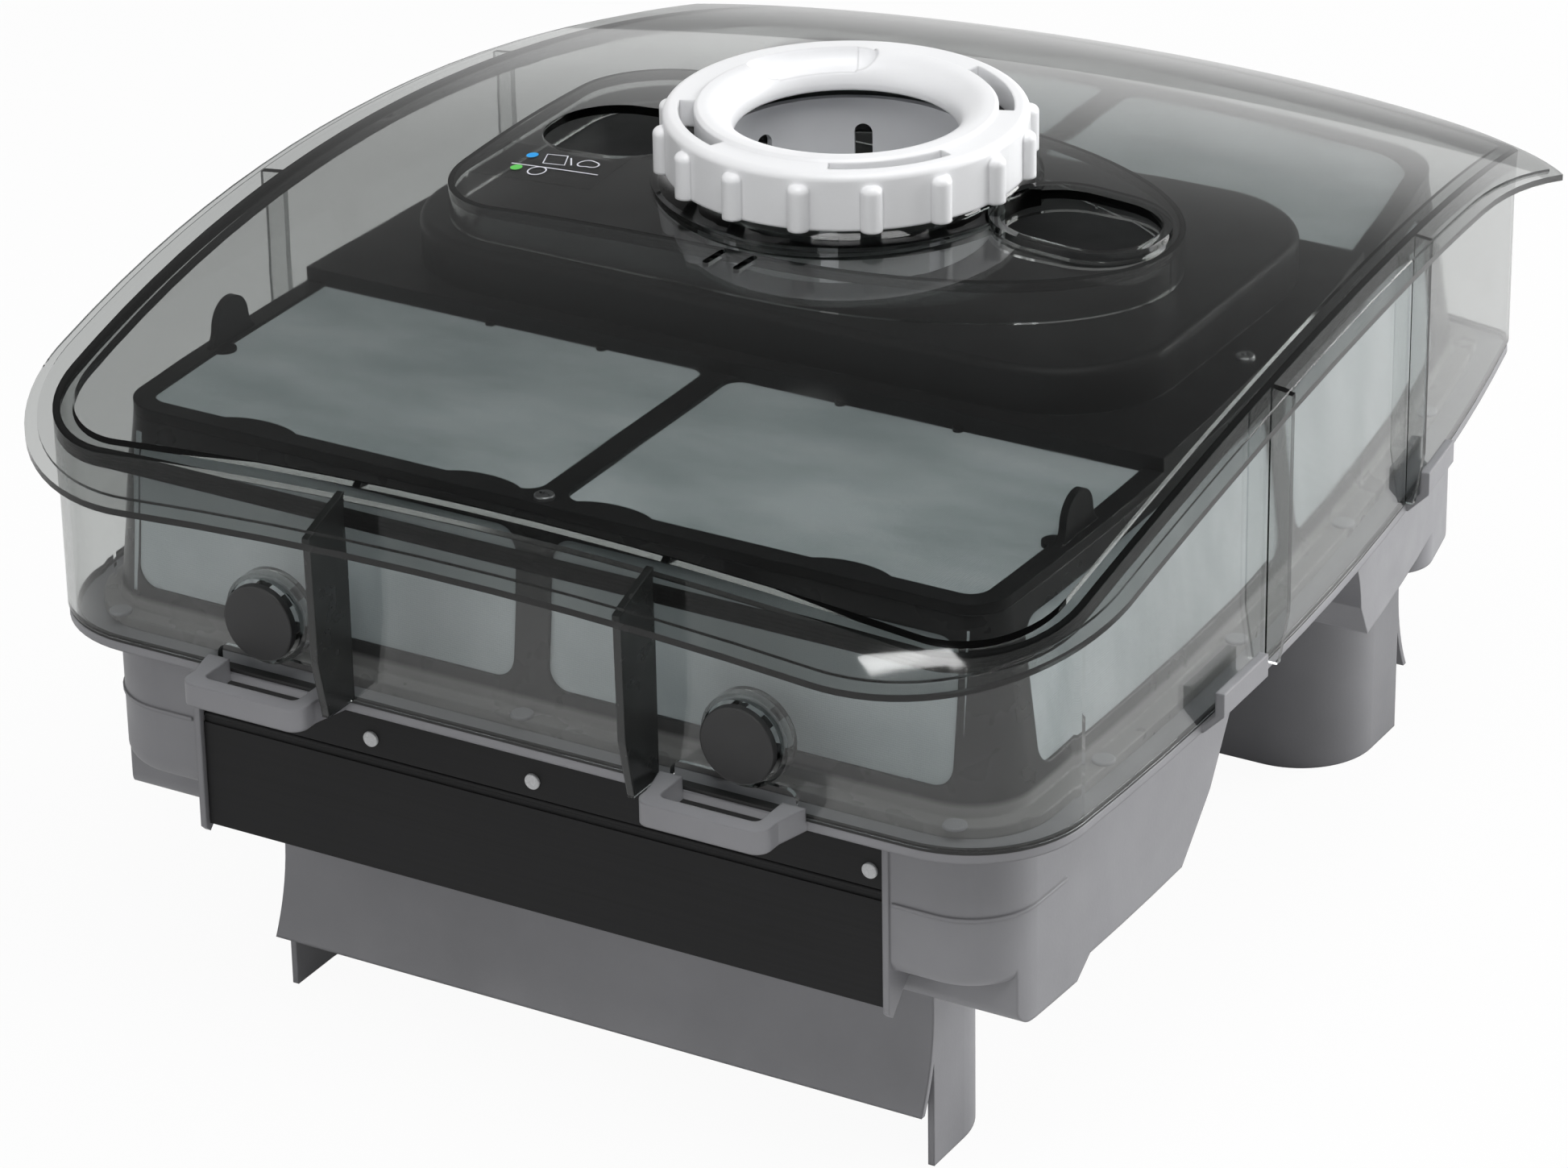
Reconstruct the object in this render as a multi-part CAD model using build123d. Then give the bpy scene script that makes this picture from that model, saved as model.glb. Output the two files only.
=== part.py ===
from build123d import *
import os
from math import asin, atan2, degrees, radians, sin, sqrt, tan

# Filter and suction unit of a pool-cleaning robot.
# Millimetres, +Z up, front at -Y, origin on the floor under the middle of the plan.

# Plan of the cover wall: straight front, long bowed sides, bowed back
COVER_HALF_WIDTH = 180.0
COVER_FRONT_Y = -219.5
COVER_BACK_Y = 216.0
WIDEST_Y = -116.0
SIDE_R = 1400.0
BACK_R = 600.0
FRONT_CORNER_R = 38.5
BACK_CORNER_R = 12.0

# Cover: heights, walls, overhanging rim, dome
COVER_BOTTOM_Z = 143.0
CROWN_Z = 250.0
DOME_R_ACROSS = 1500.0
DOME_R_ALONG = 670.0
COVER_WALL = 2.6
COVER_PLATE = 3.0
ROOT_W = 4.0
ROOT_H = 3.5
RIM_FRONT_OVERHANG = 22.0
RIM_SIDE_OVERHANG = 10.5
RIM_BACK_OVERHANG = 24.0
RIM_CORNER_R = 70.0
RIM_BACK_R = 320.0
RIM_TIP_OUT = 24.6
RIM_TIP_FORWARD = 20.6
RIM_TIP_SWEEP = 34.4
RIM_TIP_RUN = 74.0
RIM_LIP_WIDTH = 4.0
RIM_LIP_STEP = 0.9
RIB_T = 2.4
FRONT_RIB_X = 54.0
FRONT_RIB_DEPTH = 15.5
FRONT_RIB_FOOT = 13.5
SIDE_RIBS = ((-64.0, 7.2), (59.0, 5.7))
SIDE_RIB_TAPER = 3.0
SIDE_RIB_TAPER_H = 18.0

# Neck, ring and outlet tube on one upright axis
NECK_Y = -6.0
NECK_R = 56.8
NECK_BASE_R = 63.0
NECK_FLARE_H = 3.5
NECK_FLARE_STEP = 2.0
NECK_FOOT = 0.6
TUBE_R = 46.0
TUBE_WALL = 2.5
TUBE_TOP_Z = 257.0
TUBE_SLOTS = 8
TUBE_SLOT_W = 6.0
TUBE_SLOT_TOP_Z = 248.0
TUBE_SLOT_H = 46.0
TUBE_FOOT_R = 52.0
TUBE_FOOT_T = 2.5
NECK_CLEAR = 0.6
RING_R = 58.6
RING_LUG_R = 62.0
RING_LUGS = 16
RING_LUG_W = 7.0
RING_LUG_DROP = 4.5
RING_LUG_ROUND = 2.4
RING_LUG_START = 14.6
RING_EDGE_ROUND = 2.5
RING_TOP_Z = 272.7
RING_DECK_T = 10.1
RING_BOTTOM_Z = 253.0
RING_CLEAR = 0.4
RING_THROAT_R = 36.0
RING_THROAT_H = 2.0
RING_FUNNEL_R = 45.0
RING_LIP_R = 48.5
RING_LIP_H = 1.0
RING_SLOT_IN_R = 48.5
RING_SLOT_OUT_R = 53.5
RING_SLOT_ARC = 44.0
RING_SLOT_TURNS = (-135.0, -45.0, 45.0)
RING_SCOOP_TURN = 135.0
RING_SCOOP_ARC = 40.0
RING_SCOOP_R = 7.6
RING_SCOOP_END_R = 7.0
RING_SCOOP_AT_R = 43.5
NECK_SEAL_T = 0.9

# Finger openings, skirt under them, two alignment slots in the dome
FINGER_IN_X = 58.0
FINGER_OUT_X = 110.0
FINGER_W = 43.0
FINGER_CORNER_R = 20.0
FINGER_RIM_W = 3.0
FINGER_RIM_H = 2.4
FINGER_RIM_DEPTH = 4.5
SKIRT_LEFT_X = 122.0
SKIRT_RIGHT_X = 116.0
SKIRT_HALF_Y = 67.0
SKIRT_CORNER_R = 30.0
SKIRT_T = 2.0
MARK_SLOT_XS = (-6.0, 5.0)
MARK_SLOT_L = 10.0
MARK_SLOT_W = 2.6
MARK_SLOT_Y = -79.0
MARK_SLOT_TURN = 78.0

# Drain valves in pockets of the front wall
VALVE_X = 84.4
VALVE_Z = 163.0
VALVE_R = 12.5
VALVE_T = 2.6
VALVE_PROUD = 3.5
POCKET_R = 13.4
POCKET_WALL = 1.4
POCKET_DEPTH = 8.0
SEAT_HOLE_R = 9.6
VALVE_LEGS = 4
VALVE_LEG_W = 4.2
VALVE_LEG_T = 2.2
VALVE_BARB = 1.4
VALVE_BARB_T = 2.2
VALVE_ROUND = 0.6
RUN_CLEAR = 0.3

# Base tray
BASE_INSET = 16.0
BASE_WALL = 2.6
COVER_SEAL_T = 1.2
COVER_SEAL_W = 3.4
BASE_FLANGE_T = 3.0
FLANGE_SET_IN = 0.4
BASE_BACK_CORNER_R = 24.0
TIER_STEP = 13.0
TIER_Z = 87.0
LOWER_Z = 73.0
FRONT_FLOOR_Z = 79.0
REAR_TIER_Z = 88.0
REAR_LOWER_Z = 75.0
REAR_FLOOR_Z = 86.0
TUNNEL_Z = 137.0
TIER_ROUND = 6.0
LOBE_ROUND = 5.0
LOBE_SET_IN = 9.0
LOBE_RAMP = 8.0
FRONT_SLOPE_Y = -89.0
FRONT_KNEE_Y = -69.0
FRONT_KNEE_Z = 97.0
FRONT_TOP_Y = -41.0
ARCH_TOP_Y = 22.0
ARCH_LOW_Y = 63.0
ARCH_LOW_Z = 99.0
REAR_FLOOR_FRONT_Y = 71.0
REAR_LOBE_FRONT_Y = 134.5
REAR_LOBE_CORNER_R = 14.0
REAR_LOBE_GAP = 2.4
WELL_R = 55.5
WELL_TOP_Z = 150.0
CORNER_LINE_ZS = (131.0, 111.0)
CORNER_LINE_W = 1.2
CORNER_LINE_PROUD = 0.6

# Front loops and side keepers of the base
LOOP_X = 81.0
LOOP_W = 44.0
LOOP_ROOT_W = 50.0
LOOP_REACH = 20.5
LOOP_BAR = 6.0
LOOP_STRAIGHT = 9.0
LOOP_ROOT_LAP = 2.0
LOOP_ROUND = 4.8
LOOP_GAP_ROUND = 2.4
LOOP_GAP_W = 34.0
LOOP_BOTTOM_Z = 139.0
LOOP_TOP_Z = 146.5
LATCH_SLOT_W = 43.0
LATCH_SLOT_H = 8.0
KEEPERS = ((-93.5, 31.0), (74.6, 27.6))
KEEPER_LAP = 4.0
KEEPER_GAP = 3.8
KEEPER_T = 3.0
KEEPER_LOW_Z = 145.6
KEEPER_TOP_Z = 153.2

# Suction ducts
DUCT_HALF_WIDTH = 119.0
DUCT_IN_Y = 119.5
DUCT_OUT_Y = 167.0
DUCT_WALL = 2.2
DUCT_CORNER_R = 28.0
DUCT_TOP_Z = 92.0
DUCT_COLLAR_W = 4.0
DUCT_COLLAR_T = 2.5
SHEET_BOTTOM_Z = 21.0
SHEET_FLARE = 8.0
SHEET_BEND_Z = 54.0
FIT_CLEAR = 0.2

# Inlet flaps inside the tray
INLET_FLAP_T = 2.0
INLET_ROD_R = 2.0
INLET_BARREL_R = 3.8
INLET_ROD_CLEAR = 0.08
INLET_LUG_T = 4.0
INLET_LUG_X = 106.0
INLET_SIDE_GAP = 3.0

# Front flap
FLAP_HALF_WIDTH = 122.0
FLAP_T = 2.4
FLAP_FRONT_SET_BACK = 1.0
FLAP_TOP_Z = 138.0
FLAP_GROOVE_Z = 113.5
FLAP_BOTTOM_Z = 75.0
FLAP_BEAD_R = 1.2
FLAP_PIN_COUNT = 5
FLAP_PIN_EDGE = 4.5
FLAP_PIN_Z = 120.7
FLAP_PIN_R = 1.7
FLAP_PIN_HEAD_R = 2.6
FLAP_PIN_HEAD_T = 0.9
PIN_CLEAR = 0.1
CHEEK_T = 2.2
CHEEK_BOTTOM_Z = 72.0
CHEEK_PROUD = 1.6
CHEEK_CUT = 2.0

# Filter frame, filter top and mesh
FRAME_FLANGE_INSET = 11.5
FRAME_FLANGE_T = 3.5
FRAME_FOOT_INSET = 17.5
FRAME_HEAD_INSET = 25.0
FRAME_WALL = 2.4
FRAME_TOP_Z = 206.0
FRAME_BACK_CORNER_R = 24.0
WINDOW_LOW_Z = 153.5
WINDOW_HIGH_Z = 199.0
WINDOW_R = 7.0
POST_W = 12.0
FRONT_WINDOW_X = 144.0
SIDE_WINDOW_FRONT_Y = -176.0
SIDE_WINDOW_BACK_Y = 150.0
REAR_WINDOW_X = 104.0
MESH_T = 0.6
MESH_CLEAR = 0.15
TOP_PLATE_T = 3.5
DECK_Z = 214.0
DECK_FRONT_Y = -87.0
DECK_BACK_Y = 83.0
PLATEAU_Z = 229.0
PLATEAU_HALF_X = 134.0
PLATEAU_FRONT_Y = -79.0
PLATEAU_BACK_Y = 79.0
PLATEAU_CORNER_R = 40.0
PLATEAU_ROUND = 3.0
PLATEAU_WALL = 2.5
TOP_FRAME_BAND = 7.0
TOP_WINDOW_R = 6.0
TOP_POST_W = 9.0
EAR_XS = (23.0, 104.0)
EAR_HALF_W = 16.0
EAR_HALF_D = 8.0
EAR_REACH = 3.4
TAB_EAR_Y = -144.0
TAB_EAR_R = 4.0
NUB_XS = (43.2, 84.5)
NUB_R = 1.8
TAB_Y = -136.0
TAB_W = 17.0
TAB_FOOT_W = 34.0
TAB_T = 2.4
TAB_SET_IN = 3.0
TAB_CLEAR = 1.5
TAB_NECK_H = 8.0
SCREW_SIDE_X = 143.8
SCREW_SIDE_Y = -10.0
SCREW_FRONT_INSET = 29.5
SCREW_HEAD_R = 3.2
SCREW_HEAD_T = 1.4
SCREW_R = 1.5
SCREW_L = 14.0
SCREW_DRIVE_W = 0.9
SCREW_BOSS_R = 4.5
RIVET_FRONT_X = 70.0
RIVET_CORNER_SET_IN = 32.0
RIVET_SIDE_YS = (-150.0, -60.0, 30.0, 120.0)
RIVET_R = 3.6
RIVET_T = 1.0
RIVET_INSET = 13.6

# Heights and places that follow from the sizes above
BASE_TOP_Z = COVER_BOTTOM_Z - COVER_SEAL_T
BASE_FRONT_Y = COVER_FRONT_Y + BASE_INSET
BASE_BACK_Y = COVER_BACK_Y - BASE_INSET
FRAME_FLANGE_Z = BASE_TOP_Z + FRAME_FLANGE_T
TOP_PLATE_Z = FRAME_TOP_Z + TOP_PLATE_T
DUCT_COLLAR_Z = FRONT_FLOOR_Z + BASE_WALL
REAR_COLLAR_Z = REAR_FLOOR_Z + BASE_WALL
FLAP_FRONT_Y = BASE_FRONT_Y + FLAP_FRONT_SET_BACK
FLAP_BACK_Y = FLAP_FRONT_Y + FLAP_T
FLAP_PIN_OUT_X = FLAP_HALF_WIDTH - FLAP_PIN_EDGE
FLAP_PIN_STEP = 2 * FLAP_PIN_OUT_X / (FLAP_PIN_COUNT - 1)
FLAP_PIN_XS = [i * FLAP_PIN_STEP - FLAP_PIN_OUT_X for i in range(FLAP_PIN_COUNT)]
NECK_IN_R = TUBE_R + NECK_CLEAR
NECK_TOP_Z = RING_TOP_Z - RING_DECK_T - RUN_CLEAR - NECK_SEAL_T
SKIRT_BOTTOM_Z = PLATEAU_Z + RUN_CLEAR
FAR = 600.0


# Small building blocks


def block(x0, x1, y0, y1, z0, z1):
    """Box between two corners."""
    middle = Pos((x0 + x1) / 2, (y0 + y1) / 2, (z0 + z1) / 2)
    return middle * Box(abs(x1 - x0), abs(y1 - y0), abs(z1 - z0))


def drum(radius, z0, z1, x=0.0, y=0.0):
    """Upright cylinder between two heights."""
    return Pos(x, y, (z0 + z1) / 2) * Cylinder(radius, z1 - z0)


def bar_y(radius, x, z, y0, y1):
    """Cylinder along Y."""
    return Pos(x, (y0 + y1) / 2, z) * Rot(90, 0, 0) * Cylinder(radius, abs(y1 - y0))


def bar_x(radius, y, z, x0, x1):
    """Cylinder along X."""
    return Pos((x0 + x1) / 2, y, z) * Rot(0, 90, 0) * Cylinder(radius, abs(x1 - x0))


def prism(face, z0, z1):
    """Plan face raised from one height to another."""
    return Pos(0, 0, z0) * extrude(face, z1 - z0)


def side_prism(points, x0, x1):
    """Outline of (y, z) points, run along X."""
    face = make_face(Polyline(*[(y, z) for y, z in points], close=True))
    return Pos(x0, 0, 0) * extrude(Plane.YZ * face, x1 - x0)


def both_sides(solid):
    """The solid and its mirror image across the middle plane."""
    return solid + mirror(solid, Plane.YZ)


# Plan outlines


def meet(c1, r1, c2, r2):
    """Crossing of two circles that lies furthest to the right and back."""
    dx = c2[0] - c1[0]
    dy = c2[1] - c1[1]
    gap = sqrt(dx * dx + dy * dy)
    along = (r1 * r1 - r2 * r2 + gap * gap) / (2 * gap)
    off = sqrt(r1 * r1 - along * along)
    x0 = c1[0] + along * dx / gap
    y0 = c1[1] + along * dy / gap
    first = (x0 - off * dy / gap, y0 + off * dx / gap)
    second = (x0 + off * dy / gap, y0 - off * dx / gap)
    return max(first, second, key=lambda p: p[0] + p[1])


def side_x(y, inset=0.0):
    """Half-width of the plan at a given y, drawn in by inset."""
    return COVER_HALF_WIDTH - SIDE_R + sqrt((SIDE_R - inset) ** 2 - (y - WIDEST_Y) ** 2)


def back_corner(inset=0.0):
    """Corner where the bowed side meets the bowed back."""
    side_centre = (COVER_HALF_WIDTH - SIDE_R, WIDEST_Y)
    back_centre = (0.0, COVER_BACK_Y - BACK_R)
    return meet(side_centre, SIDE_R - inset, back_centre, BACK_R - inset)


def plan(inset, back_round=BACK_CORNER_R):
    """Plan of the cover wall, drawn in by inset all round."""
    front_y = COVER_FRONT_Y + inset
    front_x = side_x(front_y, inset)
    wide_x = COVER_HALF_WIDTH - inset
    back_x, back_y = back_corner(inset)
    front = Line((-front_x, front_y), (front_x, front_y))
    right = ThreePointArc((front_x, front_y), (wide_x, WIDEST_Y), (back_x, back_y))
    back = ThreePointArc((back_x, back_y), (0, COVER_BACK_Y - inset), (-back_x, back_y))
    left = ThreePointArc((-back_x, back_y), (-wide_x, WIDEST_Y), (-front_x, front_y))
    face = make_face([front, right, back, left])
    fronts = face.vertices().filter_by(lambda v: v.Y < 0)
    face = fillet(fronts, FRONT_CORNER_R - inset)
    backs = face.vertices().sort_by(Axis.Y)[-2:]
    return fillet(backs, back_round)


def rim_plan(inset=0.0):
    """Plan of the overhanging rim, drawn in by inset all round."""
    front_y = COVER_FRONT_Y - RIM_FRONT_OVERHANG + inset
    corner_r = RIM_CORNER_R - inset
    over = RIM_SIDE_OVERHANG - inset
    back_r = RIM_BACK_R - inset
    crown_y = COVER_BACK_Y + RIM_BACK_OVERHANG - inset
    bend_y = front_y + corner_r
    bend_x = side_x(bend_y, -over)
    corner_x, corner_y = back_corner()
    tip = (corner_x + RIM_TIP_OUT - inset, corner_y - RIM_TIP_FORWARD - inset / 2)
    flare_y = tip[1] - RIM_TIP_RUN
    flare = (side_x(flare_y, -over), flare_y)
    turn_x = corner_x - RIM_TIP_SWEEP
    turn = (turn_x, crown_y - back_r + sqrt(back_r ** 2 - turn_x ** 2))
    heading = (turn[1] - crown_y + back_r, -turn_x)
    centre_x = bend_x - corner_r
    middle = (centre_x + corner_r * sin(radians(45)), bend_y - corner_r * sin(radians(45)))
    wide = (COVER_HALF_WIDTH + over, WIDEST_Y)
    right = [
        Line((0, front_y), (centre_x, front_y)),
        ThreePointArc((centre_x, front_y), middle, (bend_x, bend_y)),
        ThreePointArc((bend_x, bend_y), wide, flare),
        TangentArc(flare, tip, tangent=(WIDEST_Y - flare_y, flare[0] - COVER_HALF_WIDTH + SIDE_R)),
        TangentArc(turn, tip, tangent=heading),
        TangentArc(turn, (0, crown_y), tangent=(-heading[0], -heading[1])),
        Line((0, crown_y), (0, front_y)),
    ]
    half = make_face(right)
    return half + mirror(half, Plane.YZ)


def skirt_plan(inset):
    """Outline round the finger openings: squared at the left, half an ellipse at the right."""
    half_y = SKIRT_HALF_Y - inset
    left_x = SKIRT_LEFT_X - inset
    right_x = SKIRT_RIGHT_X - inset
    oval = Ellipse(right_x, half_y) & Pos(FAR / 2, 0) * Rectangle(FAR, FAR)
    square = Pos(-left_x / 2, 0) * Rectangle(left_x, 2 * half_y)
    square = fillet(square.vertices().sort_by(Axis.X)[:2], SKIRT_CORNER_R - inset)
    return Pos(0, NECK_Y) * (oval + square)


def finger_plan(grow):
    """The finger opening at the right, widened by grow all round."""
    reach = FINGER_OUT_X - FINGER_IN_X
    middle_x = (FINGER_IN_X + FINGER_OUT_X) / 2
    width = FINGER_W + 2 * grow
    return Pos(middle_x, NECK_Y) * RectangleRounded(reach + 2 * grow, width, FINGER_CORNER_R + grow)


# Dome surfaces


def under_dome(drop):
    """Everything below the domed top, lowered by drop square to the surface."""
    arc_r = DOME_R_ALONG - drop
    centre_z = CROWN_Z - DOME_R_ALONG
    reach = FAR / 2
    edge_z = centre_z + sqrt(arc_r ** 2 - reach ** 2)
    arc = ThreePointArc((NECK_Y - reach, edge_z), (NECK_Y, centre_z + arc_r), (NECK_Y + reach, edge_z))
    floor = COVER_BOTTOM_Z / 2
    sides = Polyline((NECK_Y + reach, edge_z), (NECK_Y + reach, floor),
                     (NECK_Y - reach, floor), (NECK_Y - reach, edge_z))
    profile = Plane.YZ * make_face([arc, sides])
    axis = Axis((0, 0, CROWN_Z - DOME_R_ACROSS), (0, 1, 0))
    swing = degrees(asin(reach / DOME_R_ACROSS))
    return revolve(profile.rotate(axis, -swing), axis, 2 * swing)


def dome_z(x, y):
    """Height of the domed top over a point of the plan."""
    row_r = DOME_R_ACROSS - DOME_R_ALONG + sqrt(DOME_R_ALONG ** 2 - (y - NECK_Y) ** 2)
    return CROWN_Z - DOME_R_ACROSS + sqrt(row_r ** 2 - x ** 2)


# Cover


def cover_ribs():
    """Upright ribs under the rim, at the front and on both sides."""
    top_z = CROWN_Z
    wall_y = COVER_FRONT_Y + COVER_WALL / 2
    front = side_prism([
        (wall_y, COVER_BOTTOM_Z),
        (COVER_FRONT_Y - FRONT_RIB_FOOT, COVER_BOTTOM_Z),
        (COVER_FRONT_Y - FRONT_RIB_DEPTH, top_z),
        (wall_y, top_z),
    ], FRONT_RIB_X - RIB_T / 2, FRONT_RIB_X + RIB_T / 2)
    ribs = front
    for y, depth in SIDE_RIBS:
        wall_x = side_x(y)
        face = make_face(Polyline(
            (wall_x - COVER_WALL / 2, COVER_BOTTOM_Z),
            (wall_x + depth - SIDE_RIB_TAPER, COVER_BOTTOM_Z),
            (wall_x + depth, COVER_BOTTOM_Z + SIDE_RIB_TAPER_H),
            (wall_x + depth, top_z),
            (wall_x - COVER_WALL / 2, top_z),
            close=True))
        ribs += Pos(0, y + RIB_T / 2, 0) * extrude(Plane.XZ * face, RIB_T)
    return both_sides(ribs)


def neck_solid():
    """Neck that carries the ring, flared where it meets the dome."""
    low_z = dome_z(0, NECK_Y - NECK_BASE_R)
    foot_z = low_z - COVER_PLATE - NECK_FOOT
    flare_z = CROWN_Z + NECK_FLARE_H
    dome_edge_z = low_z + NECK_FLARE_STEP
    profile = make_face([
        Line((0, foot_z), (NECK_BASE_R, foot_z)),
        Line((NECK_BASE_R, foot_z), (NECK_BASE_R, dome_edge_z)),
        TangentArc((NECK_BASE_R, dome_edge_z), (NECK_R, flare_z), tangent=(-1, 0)),
        Line((NECK_R, flare_z), (NECK_R, NECK_TOP_Z)),
        Line((NECK_R, NECK_TOP_Z), (0, NECK_TOP_Z)),
        Line((0, NECK_TOP_Z), (0, foot_z)),
    ])
    return Pos(0, NECK_Y, 0) * revolve(Plane.XZ * profile, Axis.Z)


def make_cover():
    """Smoke-clear cover: dome plate, walls, ribs, neck, skirt and valve pockets in one moulding."""
    below_top = under_dome(0)
    below_plate = under_dome(COVER_PLATE)
    mid_plate = under_dome(COVER_PLATE / 2)
    plate = prism(rim_plan(), COVER_BOTTOM_Z, FAR / 2) & (below_top - below_plate)
    lip = prism(rim_plan() - rim_plan(RIM_LIP_WIDTH), COVER_BOTTOM_Z, FAR / 2)
    plate -= lip - under_dome(RIM_LIP_STEP)
    shell = prism(plan(0) - plan(COVER_WALL, BACK_CORNER_R - COVER_WALL), COVER_BOTTOM_Z, FAR / 2)
    upright = shell + cover_ribs()
    skirt_low = prism(skirt_plan(0) - skirt_plan(SKIRT_T), SKIRT_BOTTOM_Z, FAR / 2)
    root_in = COVER_WALL + ROOT_W
    root = prism(plan(COVER_WALL / 2) - plan(root_in, BACK_CORNER_R - root_in), COVER_BOTTOM_Z, FAR / 2)
    root &= mid_plate - under_dome(COVER_PLATE + ROOT_H)
    body = plate + ((upright + skirt_low) & mid_plate) + root
    rim_z = dome_z(FINGER_OUT_X, NECK_Y) - FINGER_RIM_DEPTH
    holes = both_sides(prism(finger_plan(0), COVER_BOTTOM_Z, FAR / 2))
    rim = prism(finger_plan(FINGER_RIM_W), rim_z, FAR / 2) & under_dome(-FINGER_RIM_H)
    body += both_sides(rim)
    body = (body - holes) + (neck_solid() - holes)
    body -= drum(NECK_IN_R, COVER_BOTTOM_Z, FAR / 2, 0, NECK_Y)
    for x in MARK_SLOT_XS:
        slot = SlotOverall(MARK_SLOT_L, MARK_SLOT_W)
        body -= prism(Pos(x, MARK_SLOT_Y) * Rot(0, 0, MARK_SLOT_TURN) * slot, COVER_BOTTOM_Z, FAR / 2)
    front_out = COVER_FRONT_Y - VALVE_PROUD
    pocket_back = COVER_FRONT_Y + POCKET_DEPTH
    for side in (-1, 1):
        x = side * VALVE_X
        slot = block(-LATCH_SLOT_W / 2, LATCH_SLOT_W / 2, front_out, COVER_FRONT_Y + 2 * COVER_WALL,
                     COVER_BOTTOM_Z - LATCH_SLOT_H, COVER_BOTTOM_Z + LATCH_SLOT_H)
        slot = fillet(slot.edges().filter_by(Axis.Y).sort_by(Axis.Z)[-2:], LATCH_SLOT_H / 2)
        body -= Pos(side * LOOP_X, 0, 0) * slot
        body += bar_y(POCKET_R + POCKET_WALL, x, VALVE_Z, COVER_FRONT_Y, pocket_back)
        body -= bar_y(POCKET_R, x, VALVE_Z, front_out, pocket_back - POCKET_WALL)
        body -= bar_y(SEAT_HOLE_R, x, VALVE_Z, COVER_FRONT_Y, pocket_back + POCKET_WALL)
    return body


# Locking ring


def make_lock_ring():
    """White ring: skirt with grip lugs, deck with arc slots and a raised lip, funnel with a finger scoop."""
    skirt_in = NECK_R + RING_CLEAR
    under_z = RING_TOP_Z - RING_DECK_T
    deck_z = RING_TOP_Z - RING_LIP_H
    profile = make_face([
        Line((RING_THROAT_R, under_z), (skirt_in, under_z)),
        Line((skirt_in, under_z), (skirt_in, RING_BOTTOM_Z)),
        Line((skirt_in, RING_BOTTOM_Z), (RING_R, RING_BOTTOM_Z)),
        Line((RING_R, RING_BOTTOM_Z), (RING_R, deck_z - RING_EDGE_ROUND)),
        TangentArc((RING_R, deck_z - RING_EDGE_ROUND), (RING_R - RING_EDGE_ROUND, deck_z), tangent=(0, 1)),
        Line((RING_R - RING_EDGE_ROUND, deck_z), (RING_LIP_R, deck_z)),
        Line((RING_LIP_R, deck_z), (RING_LIP_R - RING_LIP_H, RING_TOP_Z)),
        Line((RING_LIP_R - RING_LIP_H, RING_TOP_Z), (RING_FUNNEL_R, RING_TOP_Z)),
        TangentArc((RING_FUNNEL_R, RING_TOP_Z), (RING_THROAT_R, under_z + RING_THROAT_H), tangent=(-1, 0)),
        Line((RING_THROAT_R, under_z + RING_THROAT_H), (RING_THROAT_R, under_z)),
    ])
    ring = revolve(Plane.XZ * profile, Axis.Z)
    for i in range(RING_LUGS):
        lug = drum(RING_LUG_W / 2, RING_BOTTOM_Z, RING_TOP_Z - RING_LUG_DROP, RING_LUG_R - RING_LUG_W / 2)
        lug = fillet(lug.edges().group_by(Axis.Z)[-1], RING_LUG_ROUND)
        lug -= drum(skirt_in, 0, FAR / 2)
        ring += Rot(0, 0, RING_LUG_START + i * 360 / RING_LUGS) * lug
    band = Circle(RING_SLOT_OUT_R) - Circle(RING_SLOT_IN_R)
    wedge_x = 2 * RING_R
    wedge_y = wedge_x * tan(radians(RING_SLOT_ARC / 2))
    wedge = make_face(Polyline((0, 0), (wedge_x, -wedge_y), (wedge_x, wedge_y), close=True))
    for turn in RING_SLOT_TURNS:
        ring -= Rot(0, 0, turn) * prism(band & wedge, RING_BOTTOM_Z, RING_TOP_Z)
    round_face = Plane.XZ * Pos(RING_SCOOP_AT_R, RING_TOP_Z) * Circle(RING_SCOOP_R)
    start = Rot(0, 0, RING_SCOOP_TURN - RING_SCOOP_ARC / 2)
    ring -= start * revolve(round_face, Axis.Z, RING_SCOOP_ARC)
    for turn in (0, RING_SCOOP_ARC):
        ring -= start * Rot(0, 0, turn) * Pos(RING_SCOOP_AT_R, 0, RING_TOP_Z) * Sphere(RING_SCOOP_END_R)
    return Pos(0, NECK_Y, 0) * ring


def make_neck_seal():
    """Flat rubber ring on the neck, under the locking ring's deck."""
    ring = Circle(NECK_R - RUN_CLEAR) - Circle(NECK_IN_R + RUN_CLEAR)
    return Pos(0, NECK_Y, 0) * prism(ring, NECK_TOP_Z, NECK_TOP_Z + NECK_SEAL_T)


# Drain valves


def make_valve(side):
    """Black disc with four snap legs that slide through the pocket's seat."""
    front_y = COVER_FRONT_Y - VALVE_PROUD
    seat_back = COVER_FRONT_Y + POCKET_DEPTH
    barb_y = seat_back + RUN_CLEAR
    leg_end = barb_y + VALVE_BARB_T
    disc = bar_y(VALVE_R, 0, 0, front_y, front_y + VALVE_T)
    disc = fillet(disc.edges().group_by(Axis.Y)[0], VALVE_ROUND)
    leg_r = SEAT_HOLE_R - RUN_CLEAR
    legs = Part()
    for i in range(VALVE_LEGS):
        turn = Rot(0, 45 + i * 360 / VALVE_LEGS, 0)
        half = VALVE_LEG_W / 2
        leg = block(leg_r - VALVE_LEG_T, leg_r, front_y + VALVE_T, leg_end, -half, half)
        barb = block(leg_r - VALVE_LEG_T, leg_r + VALVE_BARB, barb_y, leg_end, -half, half)
        keep = bar_y(leg_r, 0, 0, front_y, barb_y) + bar_y(leg_r + VALVE_BARB, 0, 0, barb_y, leg_end)
        legs += turn * ((leg + barb) & keep)
    return Pos(side * VALVE_X, 0, VALVE_Z) * (disc + legs)


# Base


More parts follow.
